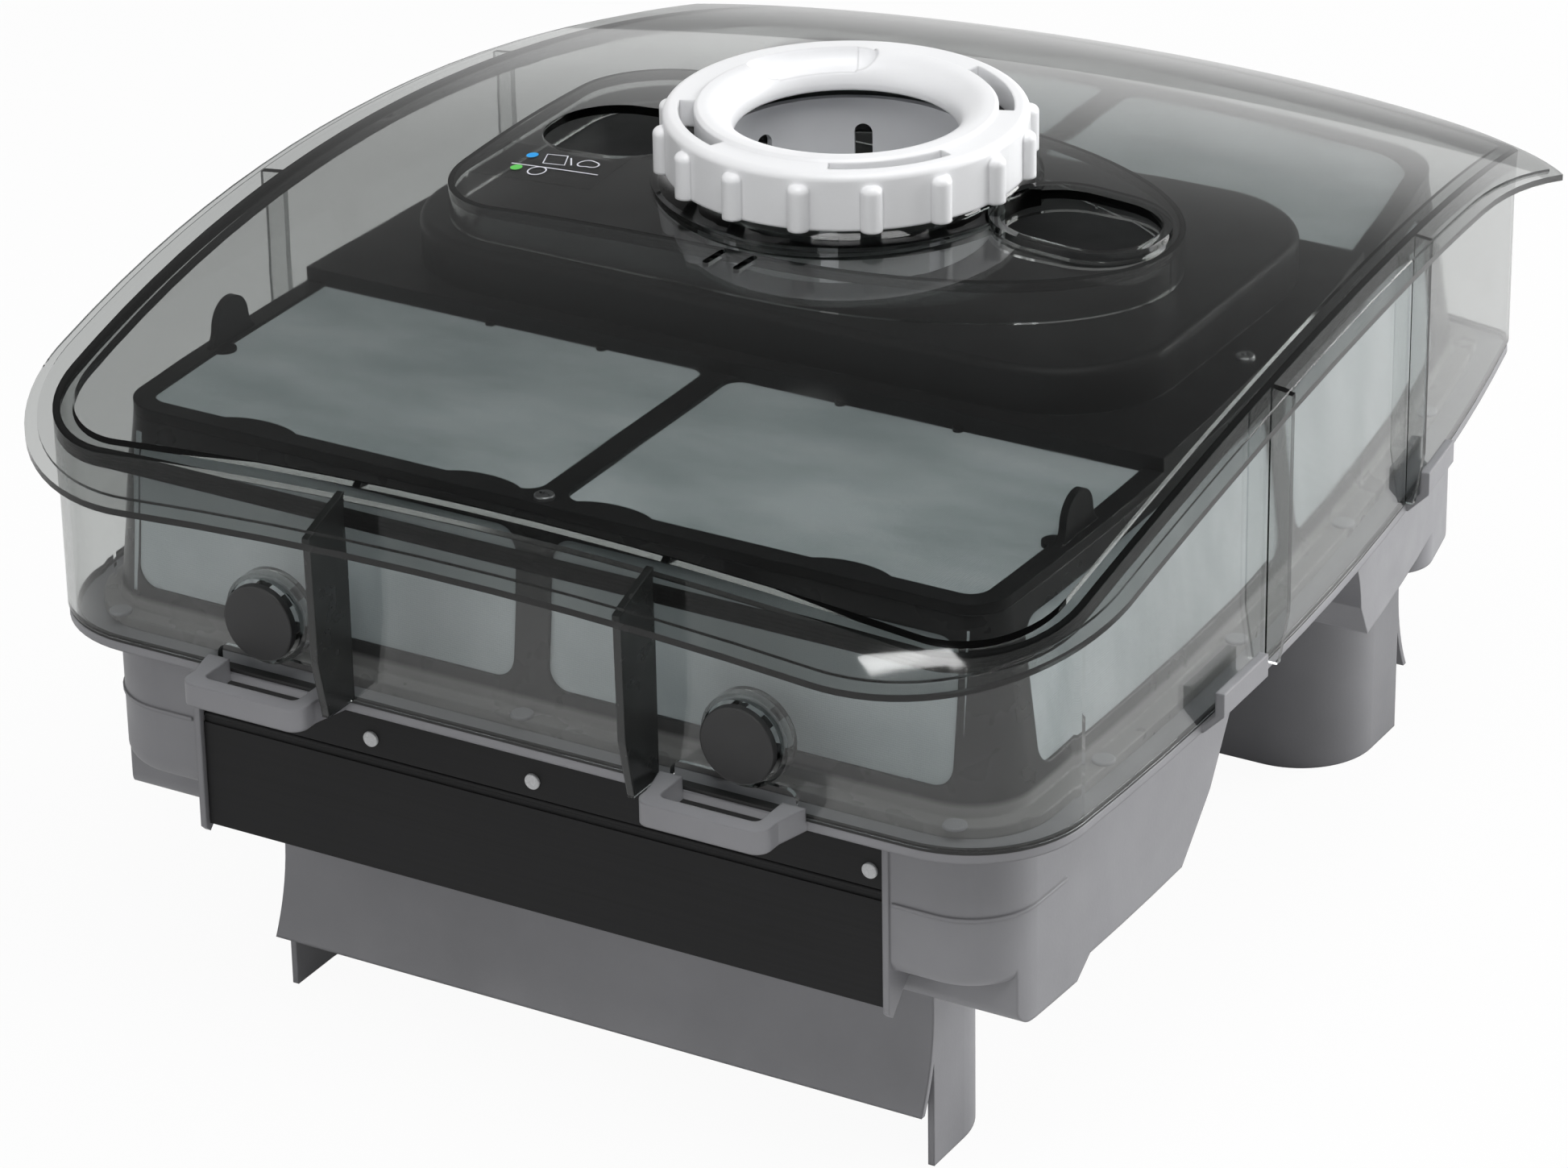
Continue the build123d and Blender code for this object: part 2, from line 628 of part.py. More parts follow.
def tray_profile(top_z):
    """Side view of the tray: front hopper, arch, rear hopper. Both ends lie past the plan."""
    front_y = BASE_FRONT_Y - TIER_STEP
    back_y = BASE_BACK_Y + TIER_STEP
    lobe_front_y = BASE_FRONT_Y + TIER_STEP
    lobe_back_y = -DUCT_OUT_Y + LOBE_SET_IN
    rear_lobe_back_y = DUCT_OUT_Y + DUCT_COLLAR_W + BASE_WALL + REAR_LOBE_GAP
    front = Polyline(
        (front_y, top_z),
        (front_y, TIER_Z),
        (lobe_front_y, TIER_Z),
        (lobe_front_y, LOWER_Z),
        (lobe_back_y, LOWER_Z),
        (lobe_back_y + LOBE_RAMP, FRONT_FLOOR_Z),
        (FRONT_SLOPE_Y, FRONT_FLOOR_Z),
        (FRONT_KNEE_Y, FRONT_KNEE_Z),
        (FRONT_TOP_Y, TUNNEL_Z),
        (ARCH_TOP_Y, TUNNEL_Z),
    )
    arch = TangentArc((ARCH_TOP_Y, TUNNEL_Z), (ARCH_LOW_Y, ARCH_LOW_Z), tangent=(1, 0))
    rear = Polyline(
        (ARCH_LOW_Y, ARCH_LOW_Z),
        (REAR_FLOOR_FRONT_Y, REAR_FLOOR_Z),
        (REAR_LOBE_FRONT_Y, REAR_FLOOR_Z),
        (REAR_LOBE_FRONT_Y, REAR_LOWER_Z),
        (rear_lobe_back_y, REAR_LOWER_Z),
        (rear_lobe_back_y, REAR_TIER_Z),
        (back_y, REAR_TIER_Z),
        (back_y, top_z),
        (front_y, top_z),
    )
    face = make_face([front, arch, rear])
    corners = [(lobe_front_y, LOWER_Z), (rear_lobe_back_y, REAR_LOWER_Z)]
    rounded = [v for v in face.vertices() for y, z in corners if abs(v.X - y) + abs(v.Y - z) < RUN_CLEAR]
    return fillet(rounded, LOBE_ROUND)


def lobe_corners(inset, shrink):
    """What is cut away under the rear floor to round the rear lobe's front corners."""
    front_y = REAR_LOBE_FRONT_Y + shrink
    field = plan(inset, BASE_BACK_CORNER_R) & Pos(0, front_y + FAR / 4) * Rectangle(FAR, FAR / 2)
    rounded = fillet(field.vertices().group_by(Axis.Y)[0], REAR_LOBE_CORNER_R - shrink)
    return prism(field - rounded, 0, REAR_FLOOR_Z + shrink)


def tray_solid(inset, top_z, shrink):
    """Tray as a full solid, drawn in by inset and with its underside raised by shrink."""
    profile = tray_profile(top_z + shrink)
    if shrink > 0:
        profile = offset(profile, -shrink, kind=Kind.INTERSECTION)
    run = Pos(-FAR / 2, 0, 0) * extrude(Plane.YZ * profile, FAR)
    return (prism(plan(inset, BASE_BACK_CORNER_R), 0, top_z) & run) - lobe_corners(inset, shrink)


def tier_edge():
    """What is cut away to round the front tier's lower edge."""
    tier = prism(plan(BASE_INSET, BASE_BACK_CORNER_R), TIER_Z, BASE_TOP_Z)
    tier = fillet(tier.edges().group_by(Axis.Z)[0], TIER_ROUND)
    band = block(-FAR / 2, FAR / 2, COVER_FRONT_Y, BASE_FRONT_Y + TIER_STEP, TIER_Z - 1, TIER_Z + TIER_ROUND)
    return band - tier


def duct_plan(grow=0.0):
    """Outline of a duct at the front: square outer corners, rounded inner ones."""
    x = DUCT_HALF_WIDTH + grow
    face = Pos(0, -(DUCT_IN_Y + DUCT_OUT_Y) / 2) * Rectangle(2 * x, DUCT_OUT_Y - DUCT_IN_Y + 2 * grow)
    return fillet(face.vertices().sort_by(Axis.Y)[-2:], DUCT_CORNER_R + grow)


def loop_solid():
    """Pull loop on the base's front flange, flared at its roots."""
    out_y = COVER_FRONT_Y - LOOP_REACH
    bend_y = out_y + LOOP_STRAIGHT
    root_y = COVER_FRONT_Y + LOOP_ROOT_LAP
    half = LOOP_W / 2
    root = LOOP_ROOT_W / 2
    outer = make_face(Polyline(
        (-half, out_y), (half, out_y), (half, bend_y), (root, COVER_FRONT_Y), (root, root_y),
        (-root, root_y), (-root, COVER_FRONT_Y), (-half, bend_y), close=True))
    outer = fillet(outer.vertices().sort_by(Axis.Y)[:2], LOOP_ROUND)
    gap_y = out_y + LOOP_BAR
    gap_depth = COVER_FRONT_Y - FIT_CLEAR - gap_y
    gap = Pos(0, gap_y + gap_depth / 2) * Rectangle(LOOP_GAP_W, gap_depth)
    gap = fillet(gap.vertices().sort_by(Axis.Y)[:2], LOOP_GAP_ROUND)
    bar = prism(outer - gap, LOOP_BOTTOM_Z, LOOP_TOP_Z)
    under_cover = block(-LOOP_ROOT_W, LOOP_ROOT_W, COVER_FRONT_Y - RUN_CLEAR, COVER_FRONT_Y + LOOP_REACH,
                        BASE_TOP_Z, LOOP_TOP_Z)
    return Pos(LOOP_X, 0, 0) * (bar - under_cover)


def keeper_solid(y, length):
    """Upright strip outside the cover wall, on a sloping foot, that keeps the wall from spreading."""
    lean = degrees(atan2(side_x(y - length / 2) - side_x(y + length / 2), length))
    out = KEEPER_GAP + KEEPER_T
    low_z = BASE_TOP_Z - BASE_FLANGE_T
    slot_z = BASE_TOP_Z + (KEEPER_LOW_Z - low_z) * KEEPER_GAP / out
    face = make_face(Polyline(
        (-KEEPER_LAP, low_z), (0, low_z), (out, KEEPER_LOW_Z), (out, KEEPER_TOP_Z),
        (KEEPER_GAP, KEEPER_TOP_Z), (KEEPER_GAP, slot_z), (0, BASE_TOP_Z), (-KEEPER_LAP, BASE_TOP_Z),
        close=True))
    strip = Pos(0, length / 2, 0) * extrude(Plane.XZ * face, length)
    return Pos(side_x(y), y, 0) * Rot(0, 0, lean) * strip


def corner_lines():
    """Two thin raised lines round each front corner of the tray."""
    start_x = COVER_HALF_WIDTH - BASE_INSET - FRONT_CORNER_R
    lines = Part()
    proud = plan(BASE_INSET - CORNER_LINE_PROUD, BASE_BACK_CORNER_R)
    ring = proud - plan(BASE_INSET + BASE_WALL / 2, BASE_BACK_CORNER_R)
    for z in CORNER_LINE_ZS:
        corner = block(start_x, FAR / 2, COVER_FRONT_Y, BASE_FRONT_Y + FRONT_CORNER_R, z, z + CORNER_LINE_W)
        lines += prism(ring, z, z + CORNER_LINE_W) & corner
    return both_sides(lines)


def cheek_solid():
    """Thin upright flange beside the front flap, with a gusset below the upper tier."""
    x0 = FLAP_HALF_WIDTH + RUN_CLEAR
    front = FLAP_FRONT_Y - CHEEK_PROUD
    wall_y = BASE_FRONT_Y + BASE_WALL
    gusset_y = BASE_FRONT_Y + TIER_STEP + BASE_WALL / 2
    top_z = BASE_TOP_Z - BASE_FLANGE_T
    return side_prism([
        (front, top_z), (front, CHEEK_BOTTOM_Z + CHEEK_CUT), (front + CHEEK_CUT, CHEEK_BOTTOM_Z),
        (gusset_y, TIER_Z - CHEEK_CUT), (gusset_y, TIER_Z + BASE_WALL),
        (wall_y, TIER_Z + TIER_ROUND), (wall_y, top_z),
    ], x0, x0 + CHEEK_T)


def make_base_tray():
    """Grey tray: hoppers, arch, flange, pump well, loops, keepers and the flap's recess."""
    outer = tray_solid(BASE_INSET, BASE_TOP_Z, 0) - tier_edge()
    inner = tray_solid(BASE_INSET + BASE_WALL, FAR / 2, BASE_WALL)
    tray = outer - inner
    flange_low_z = BASE_TOP_Z - BASE_FLANGE_T
    flange = plan(FLANGE_SET_IN) - plan(BASE_INSET + BASE_WALL / 2, BASE_BACK_CORNER_R)
    tray += prism(flange, flange_low_z, BASE_TOP_Z)
    wall_x = FLAP_HALF_WIDTH + CHEEK_T
    tray += block(-wall_x, wall_x, BASE_FRONT_Y + BASE_WALL / 2, FLAP_BACK_Y + BASE_WALL, TIER_Z, BASE_TOP_Z)
    tray += both_sides(cheek_solid())
    recess_x = FLAP_HALF_WIDTH + RUN_CLEAR
    tray -= block(-recess_x, recess_x, COVER_FRONT_Y, FLAP_BACK_Y, 0, flange_low_z)
    tray += both_sides(loop_solid())
    for y, length in KEEPERS:
        tray += both_sides(keeper_solid(y, length))
    tray += corner_lines()
    well = drum(WELL_R + BASE_WALL, 0, WELL_TOP_Z, 0, NECK_Y)
    tray += well & tray_solid(BASE_INSET, WELL_TOP_Z, 0)
    tray -= drum(WELL_R, 0, WELL_TOP_Z - BASE_WALL, 0, NECK_Y)
    tray -= drum(TUBE_R - TUBE_WALL, 0, FAR, 0, NECK_Y)
    hole = prism(duct_plan(FIT_CLEAR), 0, DUCT_TOP_Z)
    tray -= hole
    tray -= mirror(hole, Plane.XZ)
    for x in FLAP_PIN_XS:
        tray -= bar_y(FLAP_PIN_R + PIN_CLEAR, x, FLAP_PIN_Z, COVER_FRONT_Y, FLAP_BACK_Y + 2 * BASE_WALL)
    return tray


def make_cover_seal():
    """Rubber strip between the base flange and the cover's lower edge."""
    inside = plan(FLANGE_SET_IN + COVER_SEAL_W, BACK_CORNER_R - COVER_SEAL_W)
    return prism(plan(FLANGE_SET_IN) - inside, BASE_TOP_Z, COVER_BOTTOM_Z)


# Ducts and inlet flaps


def sheet_solid():
    """Outer sheet of the front duct, curved forwards at its lower edge."""
    back = -DUCT_OUT_Y + DUCT_WALL
    curve_out = TangentArc((-DUCT_OUT_Y, SHEET_BEND_Z), (-DUCT_OUT_Y - SHEET_FLARE, SHEET_BOTTOM_Z),
                           tangent=(0, -1))
    curve_in = TangentArc((back, SHEET_BEND_Z), (back - SHEET_FLARE, SHEET_BOTTOM_Z), tangent=(0, -1))
    face = make_face([
        Line((back, DUCT_TOP_Z), (-DUCT_OUT_Y, DUCT_TOP_Z)),
        Line((-DUCT_OUT_Y, DUCT_TOP_Z), (-DUCT_OUT_Y, SHEET_BEND_Z)),
        curve_out,
        Line((-DUCT_OUT_Y - SHEET_FLARE, SHEET_BOTTOM_Z), (back - SHEET_FLARE, SHEET_BOTTOM_Z)),
        curve_in,
        Line((back, SHEET_BEND_Z), (back, DUCT_TOP_Z)),
    ])
    return Pos(-DUCT_HALF_WIDTH, 0, 0) * extrude(Plane.YZ * face, 2 * DUCT_HALF_WIDTH)


def rod_place(collar_z):
    """Middle of the inlet flap's rod, just behind the front duct's inner wall."""
    y = -DUCT_IN_Y + DUCT_COLLAR_W
    z = DUCT_TOP_Z + RUN_CLEAR + INLET_BARREL_R
    return y, max(z, collar_z + INLET_BARREL_R + RUN_CLEAR)


def front_duct(collar_z):
    """Suction duct at the front: three walls to the floor, flared sheet, collar and rod lugs."""
    walls = duct_plan() - duct_plan(-DUCT_WALL)
    front_cut = Pos(0, -DUCT_OUT_Y) * Rectangle(2 * (DUCT_HALF_WIDTH - DUCT_WALL), 4 * DUCT_WALL)
    duct = prism(walls - front_cut, 0, DUCT_TOP_Z) + sheet_solid()
    collar = duct_plan(DUCT_COLLAR_W) - duct_plan(-DUCT_WALL / 2)
    duct += prism(collar, collar_z, collar_z + DUCT_COLLAR_T)
    rod_y, rod_z = rod_place(collar_z)
    half = INLET_BARREL_R
    for side in (-1, 1):
        x0 = side * INLET_LUG_X
        x1 = side * (INLET_LUG_X - INLET_LUG_T)
        lug = block(x0, x1, rod_y - half, rod_y + half, collar_z + DUCT_COLLAR_T / 2, rod_z)
        duct += lug + bar_x(half, rod_y, rod_z, x0, x1)
    duct -= bar_x(INLET_ROD_R, rod_y, rod_z, -FAR / 2, FAR / 2)
    return duct


def front_inlet_flap(collar_z):
    """Thin flap that rests on the duct's top edge and turns on the rod."""
    rod_y, rod_z = rod_place(collar_z)
    low_z = DUCT_TOP_Z + RUN_CLEAR
    half_x = INLET_LUG_X - INLET_LUG_T - RUN_CLEAR
    wide_x = DUCT_HALF_WIDTH - INLET_SIDE_GAP
    clear_y = rod_y - INLET_BARREL_R - RUN_CLEAR
    leaf = block(-wide_x, wide_x, -DUCT_OUT_Y, clear_y, low_z, low_z + INLET_FLAP_T)
    leaf = fillet(leaf.edges().filter_by(Axis.Z), INLET_SIDE_GAP)
    link = block(-half_x, half_x, clear_y - INLET_FLAP_T, rod_y, low_z, low_z + INLET_FLAP_T)
    flap = leaf + link + bar_x(INLET_BARREL_R, rod_y, rod_z, -half_x, half_x)
    return flap - bar_x(INLET_ROD_R + INLET_ROD_CLEAR, rod_y, rod_z, -FAR / 2, FAR / 2)


def front_rod(collar_z):
    """Rod that the inlet flap turns on, held in the duct's two lugs."""
    rod_y, rod_z = rod_place(collar_z)
    return bar_x(INLET_ROD_R, rod_y, rod_z, -INLET_LUG_X, INLET_LUG_X)


# Front flap


def make_flap_strip():
    """Fixed upper strip of the black front flap."""
    strip = block(-FLAP_HALF_WIDTH, FLAP_HALF_WIDTH, FLAP_FRONT_Y, FLAP_BACK_Y,
                  FLAP_GROOVE_Z + FLAP_BEAD_R + RUN_CLEAR, FLAP_TOP_Z)
    for x in FLAP_PIN_XS:
        strip -= bar_y(FLAP_PIN_R + PIN_CLEAR, x, FLAP_PIN_Z, FLAP_FRONT_Y, FLAP_BACK_Y)
    return strip


def make_front_flap():
    """Swinging leaf of the front flap, with a round bead along its groove."""
    mid_y = (FLAP_FRONT_Y + FLAP_BACK_Y) / 2
    leaf = block(-FLAP_HALF_WIDTH, FLAP_HALF_WIDTH, FLAP_FRONT_Y, FLAP_BACK_Y,
                 FLAP_BOTTOM_Z, FLAP_GROOVE_Z - 2 * FLAP_BEAD_R)
    neck = block(-FLAP_HALF_WIDTH, FLAP_HALF_WIDTH, mid_y - FLAP_T / 4, FLAP_BACK_Y - RUN_CLEAR,
                 FLAP_GROOVE_Z - 3 * FLAP_BEAD_R, FLAP_GROOVE_Z)
    bead = bar_x(FLAP_BEAD_R - RUN_CLEAR, mid_y, FLAP_GROOVE_Z, -FLAP_HALF_WIDTH, FLAP_HALF_WIDTH)
    return leaf + neck + bead


def make_flap_pins():
    """Five light grey pins with low round heads."""
    pins = []
    for x in FLAP_PIN_XS:
        shank = bar_y(FLAP_PIN_R, x, FLAP_PIN_Z, FLAP_FRONT_Y, FLAP_BACK_Y + BASE_WALL)
        head = bar_y(FLAP_PIN_HEAD_R, x, FLAP_PIN_Z, FLAP_FRONT_Y - FLAP_PIN_HEAD_T, FLAP_FRONT_Y)
        head = fillet(head.edges().group_by(Axis.Y)[0], FLAP_PIN_HEAD_T / 2)
        pins.append(shank + head)
    return Compound(children=pins)


# Filter


def frame_loft(inset):
    """Full solid with the frame's sloping sides, drawn in by inset."""
    foot = plan(FRAME_FOOT_INSET + inset, FRAME_BACK_CORNER_R)
    head = plan(FRAME_HEAD_INSET + inset, FRAME_BACK_CORNER_R)
    foot_z = FRAME_FLANGE_Z - FRAME_FLANGE_T / 2
    return loft([Pos(0, 0, foot_z) * foot, Pos(0, 0, FRAME_TOP_Z) * head], ruled=True)


def window_prisms(shrink):
    """Named window openings in the frame's walls, each drawn in by shrink."""
    mid_z = (WINDOW_LOW_Z + WINDOW_HIGH_Z) / 2
    high = WINDOW_HIGH_Z - WINDOW_LOW_Z - 2 * shrink
    corner = WINDOW_R - shrink
    named = {}

    def across(x0, x1, y0, y1):
        face = RectangleRounded(x1 - x0 - 2 * shrink, high, corner)
        plane = Plane((0, y1, 0), x_dir=(1, 0, 0), z_dir=(0, -1, 0))
        return extrude(plane * Pos((x0 + x1) / 2, mid_z) * face, y1 - y0)

    def along(y0, y1):
        face = RectangleRounded(y1 - y0 - 2 * shrink, high, corner)
        return extrude(Plane.YZ * Pos((y0 + y1) / 2, mid_z) * face, FAR / 2)

    half = POST_W / 2
    side_mid = NECK_Y
    front = (COVER_FRONT_Y, COVER_FRONT_Y + 2 * FRAME_HEAD_INSET)
    rear_y = back_corner(2 * FRAME_HEAD_INSET)[1]
    named["front_right"] = across(half, FRONT_WINDOW_X, *front)
    named["rear_right"] = across(half, REAR_WINDOW_X, rear_y, COVER_BACK_Y)
    outside = block(COVER_HALF_WIDTH / 2, FAR, -FAR, FAR, 0, FAR)
    named["side_front_right"] = along(SIDE_WINDOW_FRONT_Y, side_mid - half) & outside
    named["side_rear_right"] = along(side_mid + half, SIDE_WINDOW_BACK_Y) & outside
    for name in list(named):
        named[name.replace("right", "left")] = mirror(named[name], Plane.YZ)
    return named


def screw_places():
    """Middle of each screw head on the filter top: x, y and the face it sits on."""
    front_y = COVER_FRONT_Y + SCREW_FRONT_INSET
    return [(-SCREW_SIDE_X, SCREW_SIDE_Y, DECK_Z), (SCREW_SIDE_X, SCREW_SIDE_Y, DECK_Z),
            (0.0, front_y, TOP_PLATE_Z)]


def make_filter_frame():
    """Black cage of the filter: bottom flange, sloping walls with windows, screw bosses."""
    frame = frame_loft(0) - frame_loft(FRAME_WALL)
    inside = plan(FRAME_FOOT_INSET + FRAME_WALL, FRAME_BACK_CORNER_R)
    frame += prism(plan(FRAME_FLANGE_INSET) - inside, BASE_TOP_Z, FRAME_FLANGE_Z)
    for opening in window_prisms(0).values():
        frame -= opening
    boss_z = FRAME_TOP_Z - SCREW_L
    for x, y, _ in screw_places():
        boss = drum(SCREW_BOSS_R, boss_z, FRAME_TOP_Z, x, y)
        if x == 0:
            web = block(-SCREW_R, SCREW_R, COVER_FRONT_Y, y, boss_z, FRAME_TOP_Z)
        else:
            web = block(x, 2 * x, y - SCREW_R, y + SCREW_R, boss_z, FRAME_TOP_Z)
        frame += (boss + web) & frame_loft(FRAME_WALL / 2)
        frame -= drum(SCREW_R + PIN_CLEAR, boss_z, FRAME_TOP_Z, x, y)
    return frame


def make_wall_mesh(name):
    """One mesh panel of the frame's walls."""
    sheet = frame_loft(FRAME_WALL / 2 - MESH_T / 2) - frame_loft(FRAME_WALL / 2 + MESH_T / 2)
    return sheet & window_prisms(MESH_CLEAR)[name]


def window_ears(grow):
    """Low swellings of the plate into the front window at the right, with small nubs at the deck."""
    edge_y = COVER_FRONT_Y + FRAME_HEAD_INSET + TOP_FRAME_BAND
    ear = Ellipse(EAR_HALF_W + grow, EAR_HALF_D + grow)
    tab_x = side_x(TAB_EAR_Y, FRAME_HEAD_INSET + TOP_FRAME_BAND)
    ears = Pos(tab_x, TAB_EAR_Y) * Circle(TAB_EAR_R + grow)
    for x in EAR_XS:
        ears += Pos(x, edge_y + EAR_REACH - EAR_HALF_D) * ear
    for x in NUB_XS:
        ears += Pos(x, DECK_FRONT_Y) * Circle(NUB_R + grow)
    return ears


def top_windows(shrink):
    """Named windows in the filter top plate, drawn in by shrink."""
    inside = plan(FRAME_HEAD_INSET + TOP_FRAME_BAND + shrink, FRAME_BACK_CORNER_R)
    half = TOP_POST_W / 2 + shrink
    front_low = COVER_FRONT_Y
    right = Pos(FAR / 2 + half, 0) * Rectangle(FAR, 2 * FAR)
    front = Pos(0, (front_low + DECK_FRONT_Y - shrink) / 2) * Rectangle(
        FAR, DECK_FRONT_Y - shrink - front_low)
    rear = Pos(0, (DECK_BACK_Y + shrink + COVER_BACK_Y) / 2) * Rectangle(
        FAR, COVER_BACK_Y - DECK_BACK_Y - shrink)
    named = {}
    for label, strip in (("front", front), ("rear", rear)):
        face = inside & right & strip
        face = fillet(face.vertices().sort_by(Axis.X)[:2], TOP_WINDOW_R - shrink)
        if label == "front":
            face -= window_ears(shrink)
        named["top_" + label + "_right"] = face
        named["top_" + label + "_left"] = mirror(face, Plane.YZ)
    return named


def tab_solid():
    """Upright lift tab with a round head and a spread foot."""
    x = side_x(TAB_Y, FRAME_HEAD_INSET) - TAB_SET_IN
    head_r = TAB_W / 2
    top_z = dome_z(x, TAB_Y - head_r) - COVER_PLATE - TAB_CLEAR
    foot_z = TOP_PLATE_Z - TOP_PLATE_T / 2
    neck_z = foot_z + TAB_NECK_H
    foot = TAB_FOOT_W / 2
    face = make_face([
        Line((-foot, foot_z), (foot, foot_z)),
        TangentArc((foot, foot_z), (head_r, neck_z), tangent=(-1, 0)),
        ThreePointArc((head_r, neck_z), (0, top_z), (-head_r, neck_z)),
        TangentArc((-foot, foot_z), (-head_r, neck_z), tangent=(1, 0)),
    ])
    return Pos(x - TAB_T, TAB_Y, 0) * extrude(Plane.YZ * face, TAB_T)


def plateau(inset, top_z):
    """Raised middle of the filter top, drawn in by inset."""
    length = PLATEAU_BACK_Y - PLATEAU_FRONT_Y - 2 * inset
    width = 2 * (PLATEAU_HALF_X - inset)
    face = RectangleRounded(width, length, PLATEAU_CORNER_R - inset)
    return prism(Pos(0, (PLATEAU_BACK_Y + PLATEAU_FRONT_Y) / 2) * face, FRAME_TOP_Z, top_z)


def make_filter_top():
    """Black top plate of the filter: window frames, raised deck, hollow plateau, lift tabs."""
    outline = plan(FRAME_HEAD_INSET, FRAME_BACK_CORNER_R)
    deck_strip = Pos(0, (DECK_FRONT_Y + DECK_BACK_Y) / 2) * Rectangle(FAR, DECK_BACK_Y - DECK_FRONT_Y)
    rise = plateau(0, PLATEAU_Z)
    rise = fillet(rise.edges().group_by(Axis.Z)[-1], PLATEAU_ROUND)
    top = prism(outline, FRAME_TOP_Z, TOP_PLATE_Z) + prism(outline & deck_strip, FRAME_TOP_Z, DECK_Z) + rise
    top -= plateau(PLATEAU_WALL, PLATEAU_Z - PLATEAU_WALL)
    for face in top_windows(0).values():
        top -= prism(face, FRAME_TOP_Z, TOP_PLATE_Z)
    top += both_sides(tab_solid())
    top -= drum(NECK_IN_R, 0, FAR, 0, NECK_Y)
    for x, y, z in screw_places():
        top -= drum(SCREW_R + PIN_CLEAR, FRAME_TOP_Z, z, x, y)
    return top


def make_top_mesh(name):
    """One flat mesh panel of the filter top."""
    z = TOP_PLATE_Z - TOP_PLATE_T / 3
    return prism(top_windows(MESH_CLEAR)[name], z - MESH_T, z)


def make_screws():
    """Small round-headed screws through the filter top into the frame's bosses."""
    screws = []
    for x, y, z in screw_places():
        head = drum(SCREW_HEAD_R, z, z + SCREW_HEAD_T, x, y)
        head = fillet(head.edges().group_by(Axis.Z)[-1], SCREW_HEAD_T / 2)
        for turn in (0, 90):
            slot = Rot(0, 0, turn) * Box(SCREW_HEAD_R, SCREW_DRIVE_W, SCREW_HEAD_T)
            head -= Pos(x, y, z + SCREW_HEAD_T) * slot
        screws.append(head + drum(SCREW_R, FRAME_TOP_Z - SCREW_L + SCREW_R, z, x, y))
    return Compound(children=screws)


def make_rivets():
    """Low staked heads along the frame's bottom flange."""
    corner_x = COVER_HALF_WIDTH - RIVET_CORNER_SET_IN
    front_xs = (-corner_x, -RIVET_FRONT_X, 0, RIVET_FRONT_X, corner_x)
    places = [(x, COVER_FRONT_Y + RIVET_INSET) for x in front_xs]
    for y in RIVET_SIDE_YS:
        x = side_x(y, RIVET_INSET)
        places += [(-x, y), (x, y)]
    heads = []
    for x, y in places:
        head = drum(RIVET_R, FRAME_FLANGE_Z, FRAME_FLANGE_Z + RIVET_T, x, y)
        heads.append(fillet(head.edges().group_by(Axis.Z)[-1], RIVET_T / 2))
    return Compound(children=heads)


# Outlet tube


def make_outlet_tube():
    """Light grey tube round the pump, with round-topped slots near its top."""
    foot_z = WELL_TOP_Z + COVER_SEAL_T
    tube = drum(TUBE_R, foot_z, TUBE_TOP_Z) + drum(TUBE_FOOT_R, foot_z, foot_z + TUBE_FOOT_T)
    tube -= drum(TUBE_R - TUBE_WALL, 0, FAR)
    mid_z = TUBE_SLOT_TOP_Z - TUBE_SLOT_H / 2
    slot = extrude(Plane.YZ * Pos(0, mid_z) * Rot(0, 0, 90) * SlotOverall(TUBE_SLOT_H, TUBE_SLOT_W), FAR / 4)
    for i in range(TUBE_SLOTS):
        tube -= Rot(0, 0, (i + 0.5) * 360 / TUBE_SLOTS) * slot
    return Pos(0, NECK_Y, 0) * tube


def make_tube_seal():
    """Flat rubber ring under the outlet tube's foot."""
    ring = Circle(TUBE_FOOT_R) - Circle(TUBE_R - TUBE_WALL)
    return Pos(0, NECK_Y, 0) * prism(ring, WELL_TOP_Z, WELL_TOP_Z + COVER_SEAL_T)


# All pieces, by name


def build_parts():
    parts = {
        "base_tray": make_base_tray(),
        "cover": make_cover(),
        "lock_ring": make_lock_ring(),
        "neck_seal": make_neck_seal(),
        "cover_seal": make_cover_seal(),
        "outlet_tube": make_outlet_tube(),
        "tube_seal": make_tube_seal(),
        "left_drain_valve": make_valve(-1),
        "right_drain_valve": make_valve(1),
        "front_duct": front_duct(DUCT_COLLAR_Z),
        "rear_duct": mirror(front_duct(REAR_COLLAR_Z), Plane.XZ),
        "front_inlet_flap": front_inlet_flap(DUCT_COLLAR_Z),
        "rear_inlet_flap": mirror(front_inlet_flap(REAR_COLLAR_Z), Plane.XZ),
        "front_inlet_rod": front_rod(DUCT_COLLAR_Z),
        "rear_inlet_rod": mirror(front_rod(REAR_COLLAR_Z), Plane.XZ),
        "flap_strip": make_flap_strip(),
        "front_flap": make_front_flap(),
        "flap_pins": make_flap_pins(),
        "filter_frame": make_filter_frame(),
        "filter_top": make_filter_top(),
        "filter_screws": make_screws(),
        "frame_rivets": make_rivets(),
    }
    for name in window_prisms(0):
        parts["mesh_" + name] = make_wall_mesh(name)
    for name in top_windows(0):
        parts["mesh_" + name] = make_top_mesh(name)
    return parts


os.makedirs("parts", exist_ok=True)
for node, shape in build_parts().items():
    export_step(shape, "parts/" + node + ".step")
